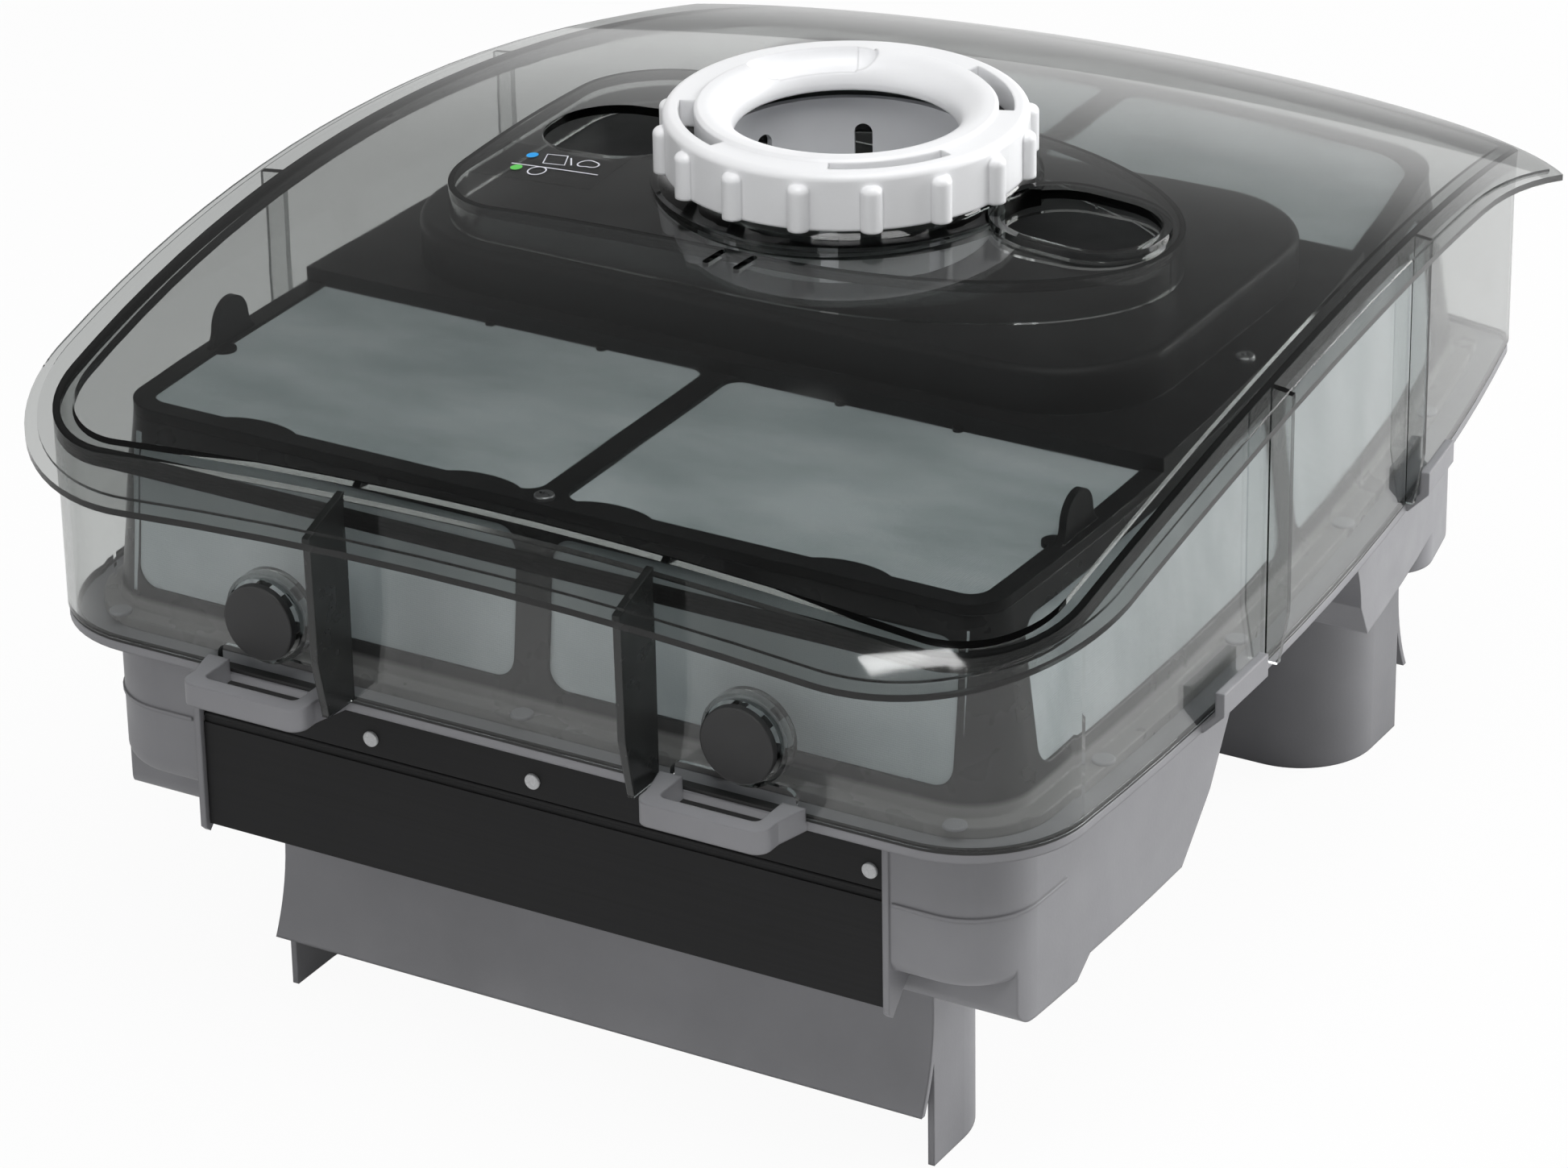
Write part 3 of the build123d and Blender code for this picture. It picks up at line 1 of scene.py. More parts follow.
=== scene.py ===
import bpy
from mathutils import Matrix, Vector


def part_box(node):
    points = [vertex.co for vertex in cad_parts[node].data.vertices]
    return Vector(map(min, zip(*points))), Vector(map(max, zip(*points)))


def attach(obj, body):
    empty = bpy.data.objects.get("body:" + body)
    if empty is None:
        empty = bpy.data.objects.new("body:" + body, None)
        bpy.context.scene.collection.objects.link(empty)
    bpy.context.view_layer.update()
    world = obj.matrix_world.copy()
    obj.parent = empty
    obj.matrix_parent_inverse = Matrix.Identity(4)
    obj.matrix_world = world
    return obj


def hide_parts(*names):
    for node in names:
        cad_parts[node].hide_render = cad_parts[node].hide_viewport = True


bl_info = {
    "name": "Pool Cleaner Filter Unit",
    "version": (1, 0, 0),
    "blender": (4, 5, 0),
    "location": "View3D > Sidebar > Filter Unit",
    "description": "Dresses the filter and suction unit of a pool cleaner and sets up its studio",
    "category": "Object",
}

import math

import bmesh
import bpy
from bpy.props import FloatProperty, FloatVectorProperty, IntProperty, PointerProperty
from mathutils import Matrix, Vector, noise

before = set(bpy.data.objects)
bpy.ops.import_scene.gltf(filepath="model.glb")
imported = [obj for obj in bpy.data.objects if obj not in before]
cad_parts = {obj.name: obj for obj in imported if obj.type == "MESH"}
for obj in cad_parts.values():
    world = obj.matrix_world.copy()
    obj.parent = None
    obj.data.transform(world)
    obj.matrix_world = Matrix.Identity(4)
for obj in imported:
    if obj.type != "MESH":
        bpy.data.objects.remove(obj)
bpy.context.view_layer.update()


def colour(name, description, default):
    """Colour setting with the usual limits."""
    return FloatVectorProperty(name=name, description=description, default=default, size=3,
                               min=0.0, max=1.0, subtype="COLOR")


def length(name, description, default):
    """Length setting in metres."""
    return FloatProperty(name=name, description=description, default=default, min=0.0,
                         subtype="DISTANCE", unit="LENGTH")


class FILTERUNIT_PG_plastics(bpy.types.PropertyGroup):
    """Colours of the moulded plastics."""

    grey: colour("Base grey", "Colour of the tray and the front suction duct", (0.228, 0.228, 0.241))
    black: colour("Filter black", "Colour of the filter's frame and top", (0.014, 0.014, 0.0145))
    # Painted shade: the rear duct is the same grey plastic as the tray and front duct; this darker copy of
    # the grey stands in for the shade under the tray
    rear: colour("Rear duct grey", "Colour of the rear suction duct", (0.185, 0.185, 0.195))
    foot: colour("Foot grey", "Colour of the filter frame's foot and flange", (0.22, 0.215, 0.215))
    flap: colour("Flap black", "Colour of the brushed flap", (0.011, 0.011, 0.0115))
    valve: colour("Valve black", "Colour of the drain valves", (0.019, 0.019, 0.0195))
    ring: colour("Ring white", "Colour of the locking ring", (0.85, 0.855, 0.868))
    tube: colour("Tube grey", "Colour of the outlet tube", (0.76, 0.77, 0.79))
    pin: colour("Pin", "Colour of the milky pins of the flap", (0.74, 0.75, 0.76))
    edge_round: length("Edge round", "Softening of moulded edges", 0.0012)


class FILTERUNIT_PG_cover(bpy.types.PropertyGroup):
    """Look of the smoke-clear cover and what is on it."""

    smoke: colour("Smoke", "Colour that the cover lets through", (0.35, 0.37, 0.362))
    density: FloatProperty(name="Density", description="How strongly the cover darkens, per metre",
                           default=160.0, min=0.0)
    wall: colour("Wall tint", "Tint of the upright faces of the cover", (0.98, 0.985, 0.98))
    # Painted shade: the domed faces get a darker tint than the walls so that what lies under the dome
    # reads dimmer; the plastic is the same all over
    dome: colour("Dome tint", "Tint of the domed faces of the cover", (0.75, 0.757, 0.752))
    shadow: colour("Shadow tint", "Light that the cover lets through into its shadow", (0.86, 0.87, 0.865))
    fin: colour("Fin", "Colour of the dark fins on the front of the cover", (0.021, 0.0225, 0.022))
    # Painted shade: near-black bands that stand in for the dark lines bent light gives where the clear
    # walls and skirt meet the dome
    bead: colour("Bead", "Colour of the dark bands where walls and dome meet", (0.010, 0.0105, 0.0105))
    bead_radius: length("Bead radius", "Radius of each dark line at the top of the walls", 0.00115)
    skirt_radius: length("Skirt bead radius", "Radius of each dark line at the top of the skirt", 0.0009)
    label_gap: length("Label gap", "How far the label lies above the dome", 0.00015)


class FILTERUNIT_PG_mesh(bpy.types.PropertyGroup):
    """Filter cloth in the windows."""

    cloth: colour("Cloth", "Colour of the clean filter cloth", (0.53, 0.57, 0.59))
    stain: colour("Stain", "Colour of the slightly used areas", (0.36, 0.405, 0.42))
    thickness: length("Thickness", "Thickness of the cloth", 0.0005)
    lap: length("Lap", "How far the cloth runs into the frame", 0.0025)
    ripple: length("Ripple", "Height of the soft ripples in the cloth", 0.0011)
    cuts: IntProperty(name="Cuts", description="Divisions along a panel's long side", default=64, min=8)


class FILTERUNIT_PG_stage(bpy.types.PropertyGroup):
    """Floor, light and camera."""

    floor: colour("Floor", "Colour of the floor", (0.74, 0.74, 0.74))
    key: FloatProperty(name="Key", description="Power of the large light at the right", default=50.0,
                       min=0.0, unit="POWER")
    top: FloatProperty(name="Top", description="Power of the light above", default=31.0,
                       min=0.0, unit="POWER")
    fill: FloatProperty(name="Fill", description="Power of the light at the front left", default=7.5,
                        min=0.0, unit="POWER")
    spark: FloatProperty(name="Spark", description="Power of the small light that glints on the rim",
                         default=0.13, min=0.0, unit="POWER")
    mirror: FloatProperty(name="Mirror", description="Level at which the ceiling is mirrored",
                          default=0.25, min=0.0)
    ambient: FloatProperty(name="Ambient", description="Light from all round", default=0.22, min=0.0)
    horizon: FloatProperty(name="Horizon", description="Height up to which surroundings mirror as white",
                           default=0.02)
    ceiling: FloatProperty(name="Ceiling", description="Height above which they mirror as dim",
                           default=0.42)
    zenith: FloatProperty(name="Zenith", description="Height above which they mirror as dark",
                          default=0.80)
    overhead: FloatProperty(name="Overhead", description="Share of the ceiling's level left at the zenith",
                            default=0.2, min=0.0)
    focal: FloatProperty(name="Focal length", description="Focal length of the camera, in millimetres",
                         default=142.5, min=1.0)


WAVE_PERIOD = math.pi / 10.0
BEVEL_SAMPLES = 4
CLOUD_SCALE = 22.0
GLOSS_SCALE = 60.0
GLOSS_SPREAD = 0.06
GRAIN_STRENGTH = 0.35
COVER_IOR = 1.49


class Finish:
    """One node material under construction."""

    def __init__(self, name):
        self.material = bpy.data.materials.new(name)
        self.material.use_nodes = True
        self.nodes = self.material.node_tree.nodes
        self.links = self.material.node_tree.links
        self.shader = self.nodes["Principled BSDF"]
        self.place = self.nodes.new("ShaderNodeTexCoord").outputs["Object"]

    def set(self, socket, value):
        """Constant on the shader's own socket."""
        self.shader.inputs[socket].default_value = value

    def join(self, output, socket):
        """Link into the shader."""
        self.links.new(output, self.shader.inputs[socket])

    def grain(self, scale, detail=3.0, stretch=(1.0, 1.0, 1.0), turn=(0.0, 0.0, 0.0)):
        """Noise over object space, from 0 to 1."""
        mapping = self.nodes.new("ShaderNodeMapping")
        mapping.inputs["Scale"].default_value = stretch
        mapping.inputs["Rotation"].default_value = turn
        self.links.new(self.place, mapping.inputs["Vector"])
        texture = self.nodes.new("ShaderNodeTexNoise")
        texture.inputs["Scale"].default_value = scale
        texture.inputs["Detail"].default_value = detail
        self.links.new(mapping.outputs["Vector"], texture.inputs["Vector"])
        return texture.outputs["Fac"]

    def weave(self, pitch, axis):
        """Thin parallel threads across one axis."""
        texture = self.nodes.new("ShaderNodeTexWave")
        texture.bands_direction = axis
        texture.inputs["Scale"].default_value = WAVE_PERIOD / pitch
        texture.inputs["Distortion"].default_value = 0.6
        texture.inputs["Detail"].default_value = 1.0
        self.links.new(self.place, texture.inputs["Vector"])
        return texture.outputs["Fac"]

    def spread(self, fac, low, high, from_low=0.3, from_high=0.7):
        """Noise rescaled to a range."""
        node = self.nodes.new("ShaderNodeMapRange")
        node.inputs["From Min"].default_value = from_low
        node.inputs["From Max"].default_value = from_high
        node.inputs["To Min"].default_value = low
        node.inputs["To Max"].default_value = high
        self.links.new(fac, node.inputs["Value"])
        return node.outputs["Result"]

    def blend(self, fac, first, second):
        """Colour between two colours."""
        node = self.nodes.new("ShaderNodeMix")
        node.data_type = "RGBA"
        node.inputs["A"].default_value = (*first, 1.0)
        node.inputs["B"].default_value = (*second, 1.0)
        self.links.new(fac, node.inputs["Factor"])
        return node.outputs["Result"]

    def product(self, first, second):
        """Two values multiplied."""
        node = self.nodes.new("ShaderNodeMath")
        node.operation = "MULTIPLY"
        self.links.new(first, node.inputs[0])
        self.links.new(second, node.inputs[1])
        return node.outputs["Value"]

    def bump(self, height, strength, distance, normal=None):
        """Surface relief from a height."""
        node = self.nodes.new("ShaderNodeBump")
        node.inputs["Strength"].default_value = strength
        node.inputs["Distance"].default_value = distance
        self.links.new(height, node.inputs["Height"])
        if normal is not None:
            self.links.new(normal, node.inputs["Normal"])
        return node.outputs["Normal"]

    def soft_edge(self, radius):
        """Normal that rounds sharp edges."""
        node = self.nodes.new("ShaderNodeBevel")
        node.samples = BEVEL_SAMPLES
        node.inputs["Radius"].default_value = radius
        return node.outputs["Normal"]


def shade(rgb, factor):
    """Colour made lighter or darker."""
    return tuple(min(1.0, channel * factor) for channel in rgb)


def moulded(name, rgb, rough, vary=0.08, grain=900.0, depth=0.00008, edge=0.0, specular=0.5):
    """Moulded plastic: cloudy colour, uneven gloss, fine grain, softened edges."""
    look = Finish(name)
    cloud = look.spread(look.grain(CLOUD_SCALE, 4.0), 0.0, 1.0)
    look.join(look.blend(cloud, shade(rgb, 1.0 - vary), shade(rgb, 1.0 + vary)), "Base Color")
    gloss = look.spread(look.grain(GLOSS_SCALE, 3.0), rough - GLOSS_SPREAD, rough + GLOSS_SPREAD)
    look.join(gloss, "Roughness")
    look.set("Specular IOR Level", specular)
    normal = look.soft_edge(edge) if edge > 0 else None
    look.join(look.bump(look.grain(grain, 2.0), GRAIN_STRENGTH, depth, normal), "Normal")
    return look.material


def dress(nodes, material):
    """Gives CAD nodes one material."""
    for name in nodes:
        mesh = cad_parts[name].data
        mesh.materials.clear()
        mesh.materials.append(material)


def finish_piece(bm, name, material, body, smooth=True):
    """Makes an object of a bmesh, and lets it ride on a body."""
    mesh = bpy.data.meshes.new(name)
    bm.to_mesh(mesh)
    bm.free()
    mesh.materials.append(material)
    for polygon in mesh.polygons:
        polygon.use_smooth = smooth
    piece = bpy.data.objects.new(name, mesh)
    bpy.context.scene.collection.objects.link(piece)
    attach(piece, body)
    return piece


# Dome, in metres
CROWN_Z = 0.250
DOME_R_ACROSS = 1.500
DOME_R_ALONG = 0.670
NECK_Y = -0.006
PLATE = 0.0030

# Plan of the walls
HALF_WIDTH = 0.180
FRONT_Y = -0.2195
BACK_Y = 0.216
WIDEST_Y = -0.116
SIDE_R = 1.400
BACK_R = 0.600
FRONT_CORNER_R = 0.0385
BACK_CORNER_R = 0.012
WALL = 0.0026

# Filter frame: height and inset of its wall's foot and head, and heights where grey turns to black
FRAME_FOOT = (0.14355, 0.0187)
FRAME_HEAD = (0.2060, 0.0262)
FOOT_GREY = (0.1480, 0.1500)
TOP_WINDOW_INSET = 0.032

# Front fins: reach before the wall and height of the foot and the knee
FIN_X = 0.054
FIN_T = 0.0027
FIN_ROUND = FIN_T / 7
FIN_FOOT = (0.0135, 0.1436)
FIN_KNEE = (0.0180, 0.1635)
FIN_TOP_REACH = 0.0188

# Skirt under the dome
SKIRT_LEFT_X = 0.122
SKIRT_RIGHT_X = 0.116
SKIRT_HALF_Y = 0.067
SKIRT_CORNER_R = 0.030
SKIRT_T = 0.0020

# Lines of painted shade under the dome's plate, as drops in radii
WALL_BEAD_DROPS = (0.4, 1.6, 2.8, 4.0)
SKIRT_BEAD_DROPS = (0.4, 1.6, 2.8)


def dome_z(x, y):
    """Height of the cover's domed top."""
    row = DOME_R_ACROSS - DOME_R_ALONG + math.sqrt(DOME_R_ALONG ** 2 - (y - NECK_Y) ** 2)
    return CROWN_Z - DOME_R_ACROSS + math.sqrt(row ** 2 - x ** 2)


def side_x(y, inset):
    """Half-width of the plan at y, drawn in by inset."""
    return HALF_WIDTH - SIDE_R + math.sqrt((SIDE_R - inset) ** 2 - (y - WIDEST_Y) ** 2)


def back_y(x, inset):
    """Back edge of the plan at x, drawn in by inset."""
    return BACK_Y - BACK_R + math.sqrt((BACK_R - inset) ** 2 - x ** 2)


def wall_inset(z):
    """How far the middle of the frame's wall is drawn in at a height."""
    share = (z - FRAME_FOOT[0]) / (FRAME_HEAD[0] - FRAME_FOOT[0])
    return FRAME_FOOT[1] + (FRAME_HEAD[1] - FRAME_FOOT[1]) * share


def arc(middle, radius, start, end, steps):
    """Plan points along a round stretch."""
    turns = [start + (end - start) * i / steps for i in range(steps + 1)]
    return [Vector((middle.x + radius * math.cos(t), middle.y + radius * math.sin(t))) for t in turns]


def heading(middle, point):
    """Direction from one plan point to another, as an angle."""
    return math.atan2(point.y - middle.y, point.x - middle.x)


def wall_line(inset):
    """Closed plan line of the cover's walls, drawn in by inset."""
    ahead = FRONT_Y + FRONT_CORNER_R
    front = Vector((side_x(ahead, FRONT_CORNER_R), ahead))
    back = Vector((0.0, BACK_Y - BACK_CORNER_R))
    for _ in range(12):
        back = Vector((side_x(back.y, BACK_CORNER_R), back.y))
        back = Vector((back.x, back_y(back.x, BACK_CORNER_R)))
    side = Vector((HALF_WIDTH - SIDE_R, WIDEST_Y))
    rear = Vector((0.0, BACK_Y - BACK_R))
    half = arc(front, FRONT_CORNER_R - inset, -math.pi / 2, heading(side, front), 12)
    half += arc(side, SIDE_R - inset, heading(side, front), heading(side, back), 32)[1:]
    half += arc(back, BACK_CORNER_R - inset, heading(side, back), heading(rear, back), 8)[1:]
    half += arc(rear, BACK_R - inset, heading(rear, back), math.pi / 2, 16)[1:]
    other = [Vector((-point.x, point.y)) for point in half[-2::-1]]
    return half + other


def skirt_line(inset):
    """Closed plan line of the skirt under the dome: squared at the left, half an ellipse at the right."""
    half_y = SKIRT_HALF_Y - inset
    left = SKIRT_LEFT_X - inset
    right = SKIRT_RIGHT_X - inset
    round_r = SKIRT_CORNER_R - inset
    oval = [Vector((right * point.x, NECK_Y + half_y * point.y)) for point in
            arc(Vector((0.0, 0.0)), 1.0, -math.pi / 2, math.pi / 2, 32)]
    far = arc(Vector((round_r - left, NECK_Y + half_y - round_r)), round_r, math.pi / 2, math.pi, 8)
    near = arc(Vector((round_r - left, NECK_Y - half_y + round_r)), round_r, math.pi, 1.5 * math.pi, 8)
    return oval + far + near


class FILTERUNIT_OT_base(bpy.types.Operator):
    """Grey moulded tray with its loops and keepers, and both suction ducts, the rear one in a darker copy
    of the grey as painted shade
    """

    bl_idname = "filterunit.base"
    bl_label = "Base and ducts"

    def execute(self, context):
        plastics = context.scene.filterunit_plastics
        grey = moulded("base_grey", plastics.grey, 0.46, edge=plastics.edge_round)
        # Painted shade: the rear duct gets a darker copy of the base grey for the shade it sits in under
        # the tray
        rear = moulded("rear_duct_shaded_grey", plastics.rear, 0.46, edge=plastics.edge_round)
        dress(("base_tray", "front_duct"), grey)
        dress(("rear_duct",), rear)
        return {"FINISHED"}


class FILTERUNIT_OT_cover(bpy.types.Operator):
    """Smoke-clear cover, darker where it is thicker, with painted shade that darkens its upward-facing
    domed faces
    """

    bl_idname = "filterunit.cover"
    bl_label = "Cover"

    def execute(self, context):
        settings = context.scene.filterunit_cover
        look = Finish("cover_smoke")
        facing = look.nodes.new("ShaderNodeNewGeometry").outputs["True Normal"]
        axes = look.nodes.new("ShaderNodeSeparateXYZ")
        look.links.new(facing, axes.inputs["Vector"])
        # Painted shade: the more a face points up, the more its tint moves from the wall tint to the
        # darker dome tint
        upward_shade_share = look.product(axes.outputs["Z"], axes.outputs["Z"])
        look.join(look.blend(look.spread(upward_shade_share, 0.0, 1.0), settings.wall, settings.dome), "Base Color")
        look.set("Transmission Weight", 1.0)
        look.set("IOR", COVER_IOR)
        look.join(look.spread(look.grain(30.0, 5.0), 0.015, 0.05), "Roughness")
        look.join(look.bump(look.grain(9.0, 1.0), 0.06, 0.002), "Normal")
        volume = look.nodes.new("ShaderNodeVolumeAbsorption")
        volume.inputs["Color"].default_value = (*settings.smoke, 1.0)
        volume.inputs["Density"].default_value = settings.density
        clear = look.nodes.new("ShaderNodeBsdfTransparent")
        clear.inputs["Color"].default_value = (*settings.shadow, 1.0)
        path = look.nodes.new("ShaderNodeLightPath")
        mix = look.nodes.new("ShaderNodeMixShader")
        out = look.nodes["Material Output"]
        look.links.new(path.outputs["Is Shadow Ray"], mix.inputs["Fac"])
        look.links.new(look.shader.outputs["BSDF"], mix.inputs[1])
        look.links.new(clear.outputs["BSDF"], mix.inputs[2])
        look.links.new(mix.outputs["Shader"], out.inputs["Surface"])
        look.links.new(volume.outputs["Volume"], out.inputs["Volume"])
        dress(("cover",), look.material)
        return {"FINISHED"}


class FILTERUNIT_OT_bead(bpy.types.Operator):
    """Painted shade: dark bands inside the cover where its walls and its skirt meet the dome, standing in
    for the dark lines that light bent in the clear plastic gives there
    """

    bl_idname = "filterunit.bead"
    bl_label = "Cover beads"

    def bead(self, name, line, radius, drops, material):
        """Round lines of painted shade one below the other under the dome's plate, with their drops in
        radii.
        """
        curve = bpy.data.curves.new(name, "CURVE")
        curve.dimensions = "3D"
        curve.bevel_depth = radius
        curve.bevel_resolution = 3
        curve.materials.append(material)
        for drop in drops:
            run = curve.splines.new("POLY")
            run.points.add(len(line) - 1)
            for point, spot in zip(run.points, line):
                point.co = (spot.x, spot.y, dome_z(spot.x, spot.y) - PLATE - drop * radius, 1.0)
            run.use_cyclic_u = True
            run.use_smooth = True
        piece = bpy.data.objects.new(name, curve)
        bpy.context.scene.collection.objects.link(piece)
        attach(piece, "cover")

    def execute(self, context):
        settings = context.scene.filterunit_cover
        # Painted shade: opaque near-black lines in place of the dark lines that bent light gives at the
        # clear joints
        look = Finish("bead_painted_shade")
        look.join(look.blend(look.grain(80.0), settings.bead, shade(settings.bead, 1.6)), "Base Color")
        look.join(look.spread(look.grain(150.0), 0.4, 0.6), "Roughness")
        look.set("Specular IOR Level", 0.0)
        self.bead("wall_shade_bead", wall_line(WALL / 2), settings.bead_radius, WALL_BEAD_DROPS, look.material)
        self.bead("skirt_shade_bead", skirt_line(SKIRT_T / 2), settings.skirt_radius, SKIRT_BEAD_DROPS,
                  look.material)
        return {"FINISHED"}


class FILTERUNIT_OT_fins(bpy.types.Operator):
    """Dark upright fins on the front of the cover, drawn in at the foot"""

    bl_idname = "filterunit.fins"
    bl_label = "Front fins"

    def fin(self, name, x, material):
        """One plate: its side outline pushed across and its edges rounded."""
        root = FRONT_Y + WALL / 2
        top = FRONT_Y - FIN_TOP_REACH
        outline = [(root, FIN_FOOT[1]), (FRONT_Y - FIN_FOOT[0], FIN_FOOT[1]),
                   (FRONT_Y - FIN_KNEE[0], FIN_KNEE[1]), (top, dome_z(x, top) - PLATE),
                   (root, dome_z(x, root) - PLATE)]
        bm = bmesh.new()
        corners = [bm.verts.new((x - FIN_T / 2, y, z)) for y, z in outline]
        bm.faces.new(corners)
        pushed = bmesh.ops.extrude_face_region(bm, geom=bm.faces[:])["geom"]
        moved = [item for item in pushed if isinstance(item, bmesh.types.BMVert)]
        bmesh.ops.translate(bm, verts=moved, vec=(FIN_T, 0.0, 0.0))
        bmesh.ops.recalc_face_normals(bm, faces=bm.faces)
        bmesh.ops.bevel(bm, geom=bm.edges[:], offset=FIN_ROUND, offset_type="OFFSET", affect="EDGES",
                        segments=3, profile=0.5, material=-1)
        finish_piece(bm, name, material, "cover", smooth=False)

    def execute(self, context):
        rgb = context.scene.filterunit_cover.fin
        look = Finish("fin_smoke")
        look.join(look.blend(look.grain(40.0), shade(rgb, 0.8), shade(rgb, 1.3)), "Base Color")
        look.join(look.spread(look.grain(120.0), 0.16, 0.3), "Roughness")
        self.fin("front_fin_left", -FIN_X, look.material)
        self.fin("front_fin_right", FIN_X, look.material)
        return {"FINISHED"}


LABEL_MIDDLE = (-0.0905, -0.0405)
LABEL_SIZE = (0.046, 0.0255)
LABEL_FILM = ((0.03, 0.03, 0.03), (0.045, 0.045, 0.045))
LABEL_INK = (0.72, 0.72, 0.78)
LABEL_BLUE = (0.015, 0.34, 0.80)
LABEL_GREEN = (0.12, 0.58, 0.10)
LABEL_STROKE = 0.00052
DOT_R = 0.0020
DOT_BLUE = (-0.0999, -0.0357)
DOT_GREEN = (-0.0997, -0.0458)
LINE_START = (-0.103, -0.0434)
LINE_RUN = (0.0324, 0.0004)
LINE_STEPS = 12
SQUARE = ((-0.0954, -0.0336), (-0.0880, -0.0330), (-0.0852, -0.0398), (-0.0930, -0.0404))
BAR = ((-0.0862, -0.0340), (-0.0830, -0.0392))
CIRCLE_STEPS = 40
CIRCLE_R = 0.0030
CIRCLE_MIDDLE = (-0.0916, -0.0463)
BEAN_MIDDLE = (-0.0782, -0.0364)


class FILTERUNIT_OT_label(bpy.types.Operator):
    """Small dark patch on the dome with two coloured dots, a line and plain outlines"""

    bl_idname = "filterunit.label"
    bl_label = "Label"

    def lay(self, bm, gap):
        """Drops flat geometry onto the dome."""
        for vert in bm.verts:
            vert.co.z += dome_z(vert.co.x, vert.co.y) + gap

    def stroke(self, points, width, closed):
        """Flat band along a row of plan points."""
        bm = bmesh.new()
        count = len(points)
        pairs = []
        for i, point in enumerate(points):
            before = points[i - 1] if closed or i > 0 else point
            after = points[(i + 1) % count] if closed or i < count - 1 else point
            along = (Vector(after) - Vector(before)).normalized()
            across = Vector((-along.y, along.x)) * width / 2
            pairs.append([bm.verts.new((point[0] + side * across.x, point[1] + side * across.y, 0.0))
                          for side in (1, -1)])
        for i in range(count if closed else count - 1):
            first, second = pairs[i], pairs[(i + 1) % count]
            bm.faces.new((first[0], first[1], second[1], second[0]))
        return bm

    def dot(self, place, radius):
        """Flat round spot."""
        bm = bmesh.new()
        bmesh.ops.create_circle(bm, cap_ends=True, segments=32, radius=radius)
        bmesh.ops.translate(bm, verts=bm.verts, vec=(*place, 0.0))
        return bm

    def add(self, bm, name, material, gap):
        """Lays one mark on the dome."""
        bmesh.ops.recalc_face_normals(bm, faces=bm.faces)
        self.lay(bm, gap)
        finish_piece(bm, name, material, "cover", smooth=False)

    def execute(self, context):
        gap = context.scene.filterunit_cover.label_gap
        film = Finish("label_film")
        film.join(film.blend(film.grain(120.0), *LABEL_FILM), "Base Color")
        film.set("Roughness", 0.5)
        film.set("Alpha", 0.25)
        bm = bmesh.new()
        bmesh.ops.create_grid(bm, x_segments=12, y_segments=8, size=0.5)
        for vert in bm.verts:
            vert.co.x = LABEL_MIDDLE[0] + vert.co.x * LABEL_SIZE[0]
            vert.co.y = LABEL_MIDDLE[1] + vert.co.y * LABEL_SIZE[1]
        self.add(bm, "label_patch", film.material, gap)
        ink = moulded("label_white", LABEL_INK, 0.5, vary=0.04)
        blue = moulded("label_blue", LABEL_BLUE, 0.45, vary=0.06)
        green = moulded("label_green", LABEL_GREEN, 0.45, vary=0.06)
        above = 2.0 * gap
        self.add(self.dot(DOT_BLUE, DOT_R), "label_dot_blue", blue, above)
        self.add(self.dot(DOT_GREEN, DOT_R), "label_dot_green", green, above)
        row = [(LINE_START[0] + LINE_RUN[0] * i / LINE_STEPS, LINE_START[1] + LINE_RUN[1] * i / LINE_STEPS)
               for i in range(LINE_STEPS + 1)]
        self.add(self.stroke(row, LABEL_STROKE, False), "label_line", ink, above)
        self.add(self.stroke(SQUARE, LABEL_STROKE, True), "label_square", ink, above)
        self.add(self.stroke(BAR, LABEL_STROKE, False), "label_bar", ink, above)
        turns = [2.0 * math.pi * i / CIRCLE_STEPS for i in range(CIRCLE_STEPS)]
        circle = [(CIRCLE_MIDDLE[0] + CIRCLE_R * math.cos(t), CIRCLE_MIDDLE[1] + CIRCLE_R * math.sin(t))
                  for t in turns]
        self.add(self.stroke(circle, LABEL_STROKE, True), "label_circle", ink, above)
        bean = []
        for t in turns:
            reach = CIRCLE_R * (1.0 + 0.22 * math.cos(2.0 * t) + 0.10 * math.cos(3.0 * t + 0.8))
            bean.append((BEAN_MIDDLE[0] + reach * math.cos(t), BEAN_MIDDLE[1] + reach * math.sin(t)))
        self.add(self.stroke(bean, LABEL_STROKE, True), "label_bean", ink, above)
        return {"FINISHED"}


class FILTERUNIT_OT_ring(bpy.types.Operator):
    """White locking ring and the grey outlet tube inside it"""

    bl_idname = "filterunit.ring"
    bl_label = "Locking ring and outlet tube"

    def execute(self, context):
        plastics = context.scene.filterunit_plastics
        ring = moulded("ring_white", plastics.ring, 0.34, vary=0.03, grain=700.0, depth=0.00004,
                       edge=plastics.edge_round)
        tube = moulded("tube_grey", plastics.tube, 0.48, vary=0.05)
        dress(("lock_ring",), ring)
        dress(("outlet_tube",), tube)
        return {"FINISHED"}


class FILTERUNIT_OT_valves(bpy.types.Operator):
    """Black drain valves"""

    bl_idname = "filterunit.valves"
    bl_label = "Drain valves"

    def execute(self, context):
        plastics = context.scene.filterunit_plastics
        black = moulded("valve_black", plastics.valve, 0.5, vary=0.12, edge=0.0005)
        dress(("left_drain_valve", "right_drain_valve"), black)
        return {"FINISHED"}


class FILTERUNIT_OT_flaps(bpy.types.Operator):
    """Brushed black front flap with its strip, and the two inlet flaps"""

    bl_idname = "filterunit.flaps"
    bl_label = "Flaps"

    def execute(self, context):
        rgb = context.scene.filterunit_plastics.flap
        look = Finish("flap_black")
        lines = look.grain(60.0, 4.0, stretch=(0.12, 14.0, 14.0))
        share = look.spread(lines, 0.0, 1.0)
        look.join(look.blend(share, shade(rgb, 0.75), shade(rgb, 1.35)), "Base Color")
        look.join(look.spread(lines, 0.5, 0.64), "Roughness")
        look.set("Specular IOR Level", 0.22)
        look.join(look.bump(lines, 0.25, 0.00006, look.soft_edge(0.0004)), "Normal")
        dress(("flap_strip", "front_flap", "front_inlet_flap", "rear_inlet_flap"), look.material)
        return {"FINISHED"}


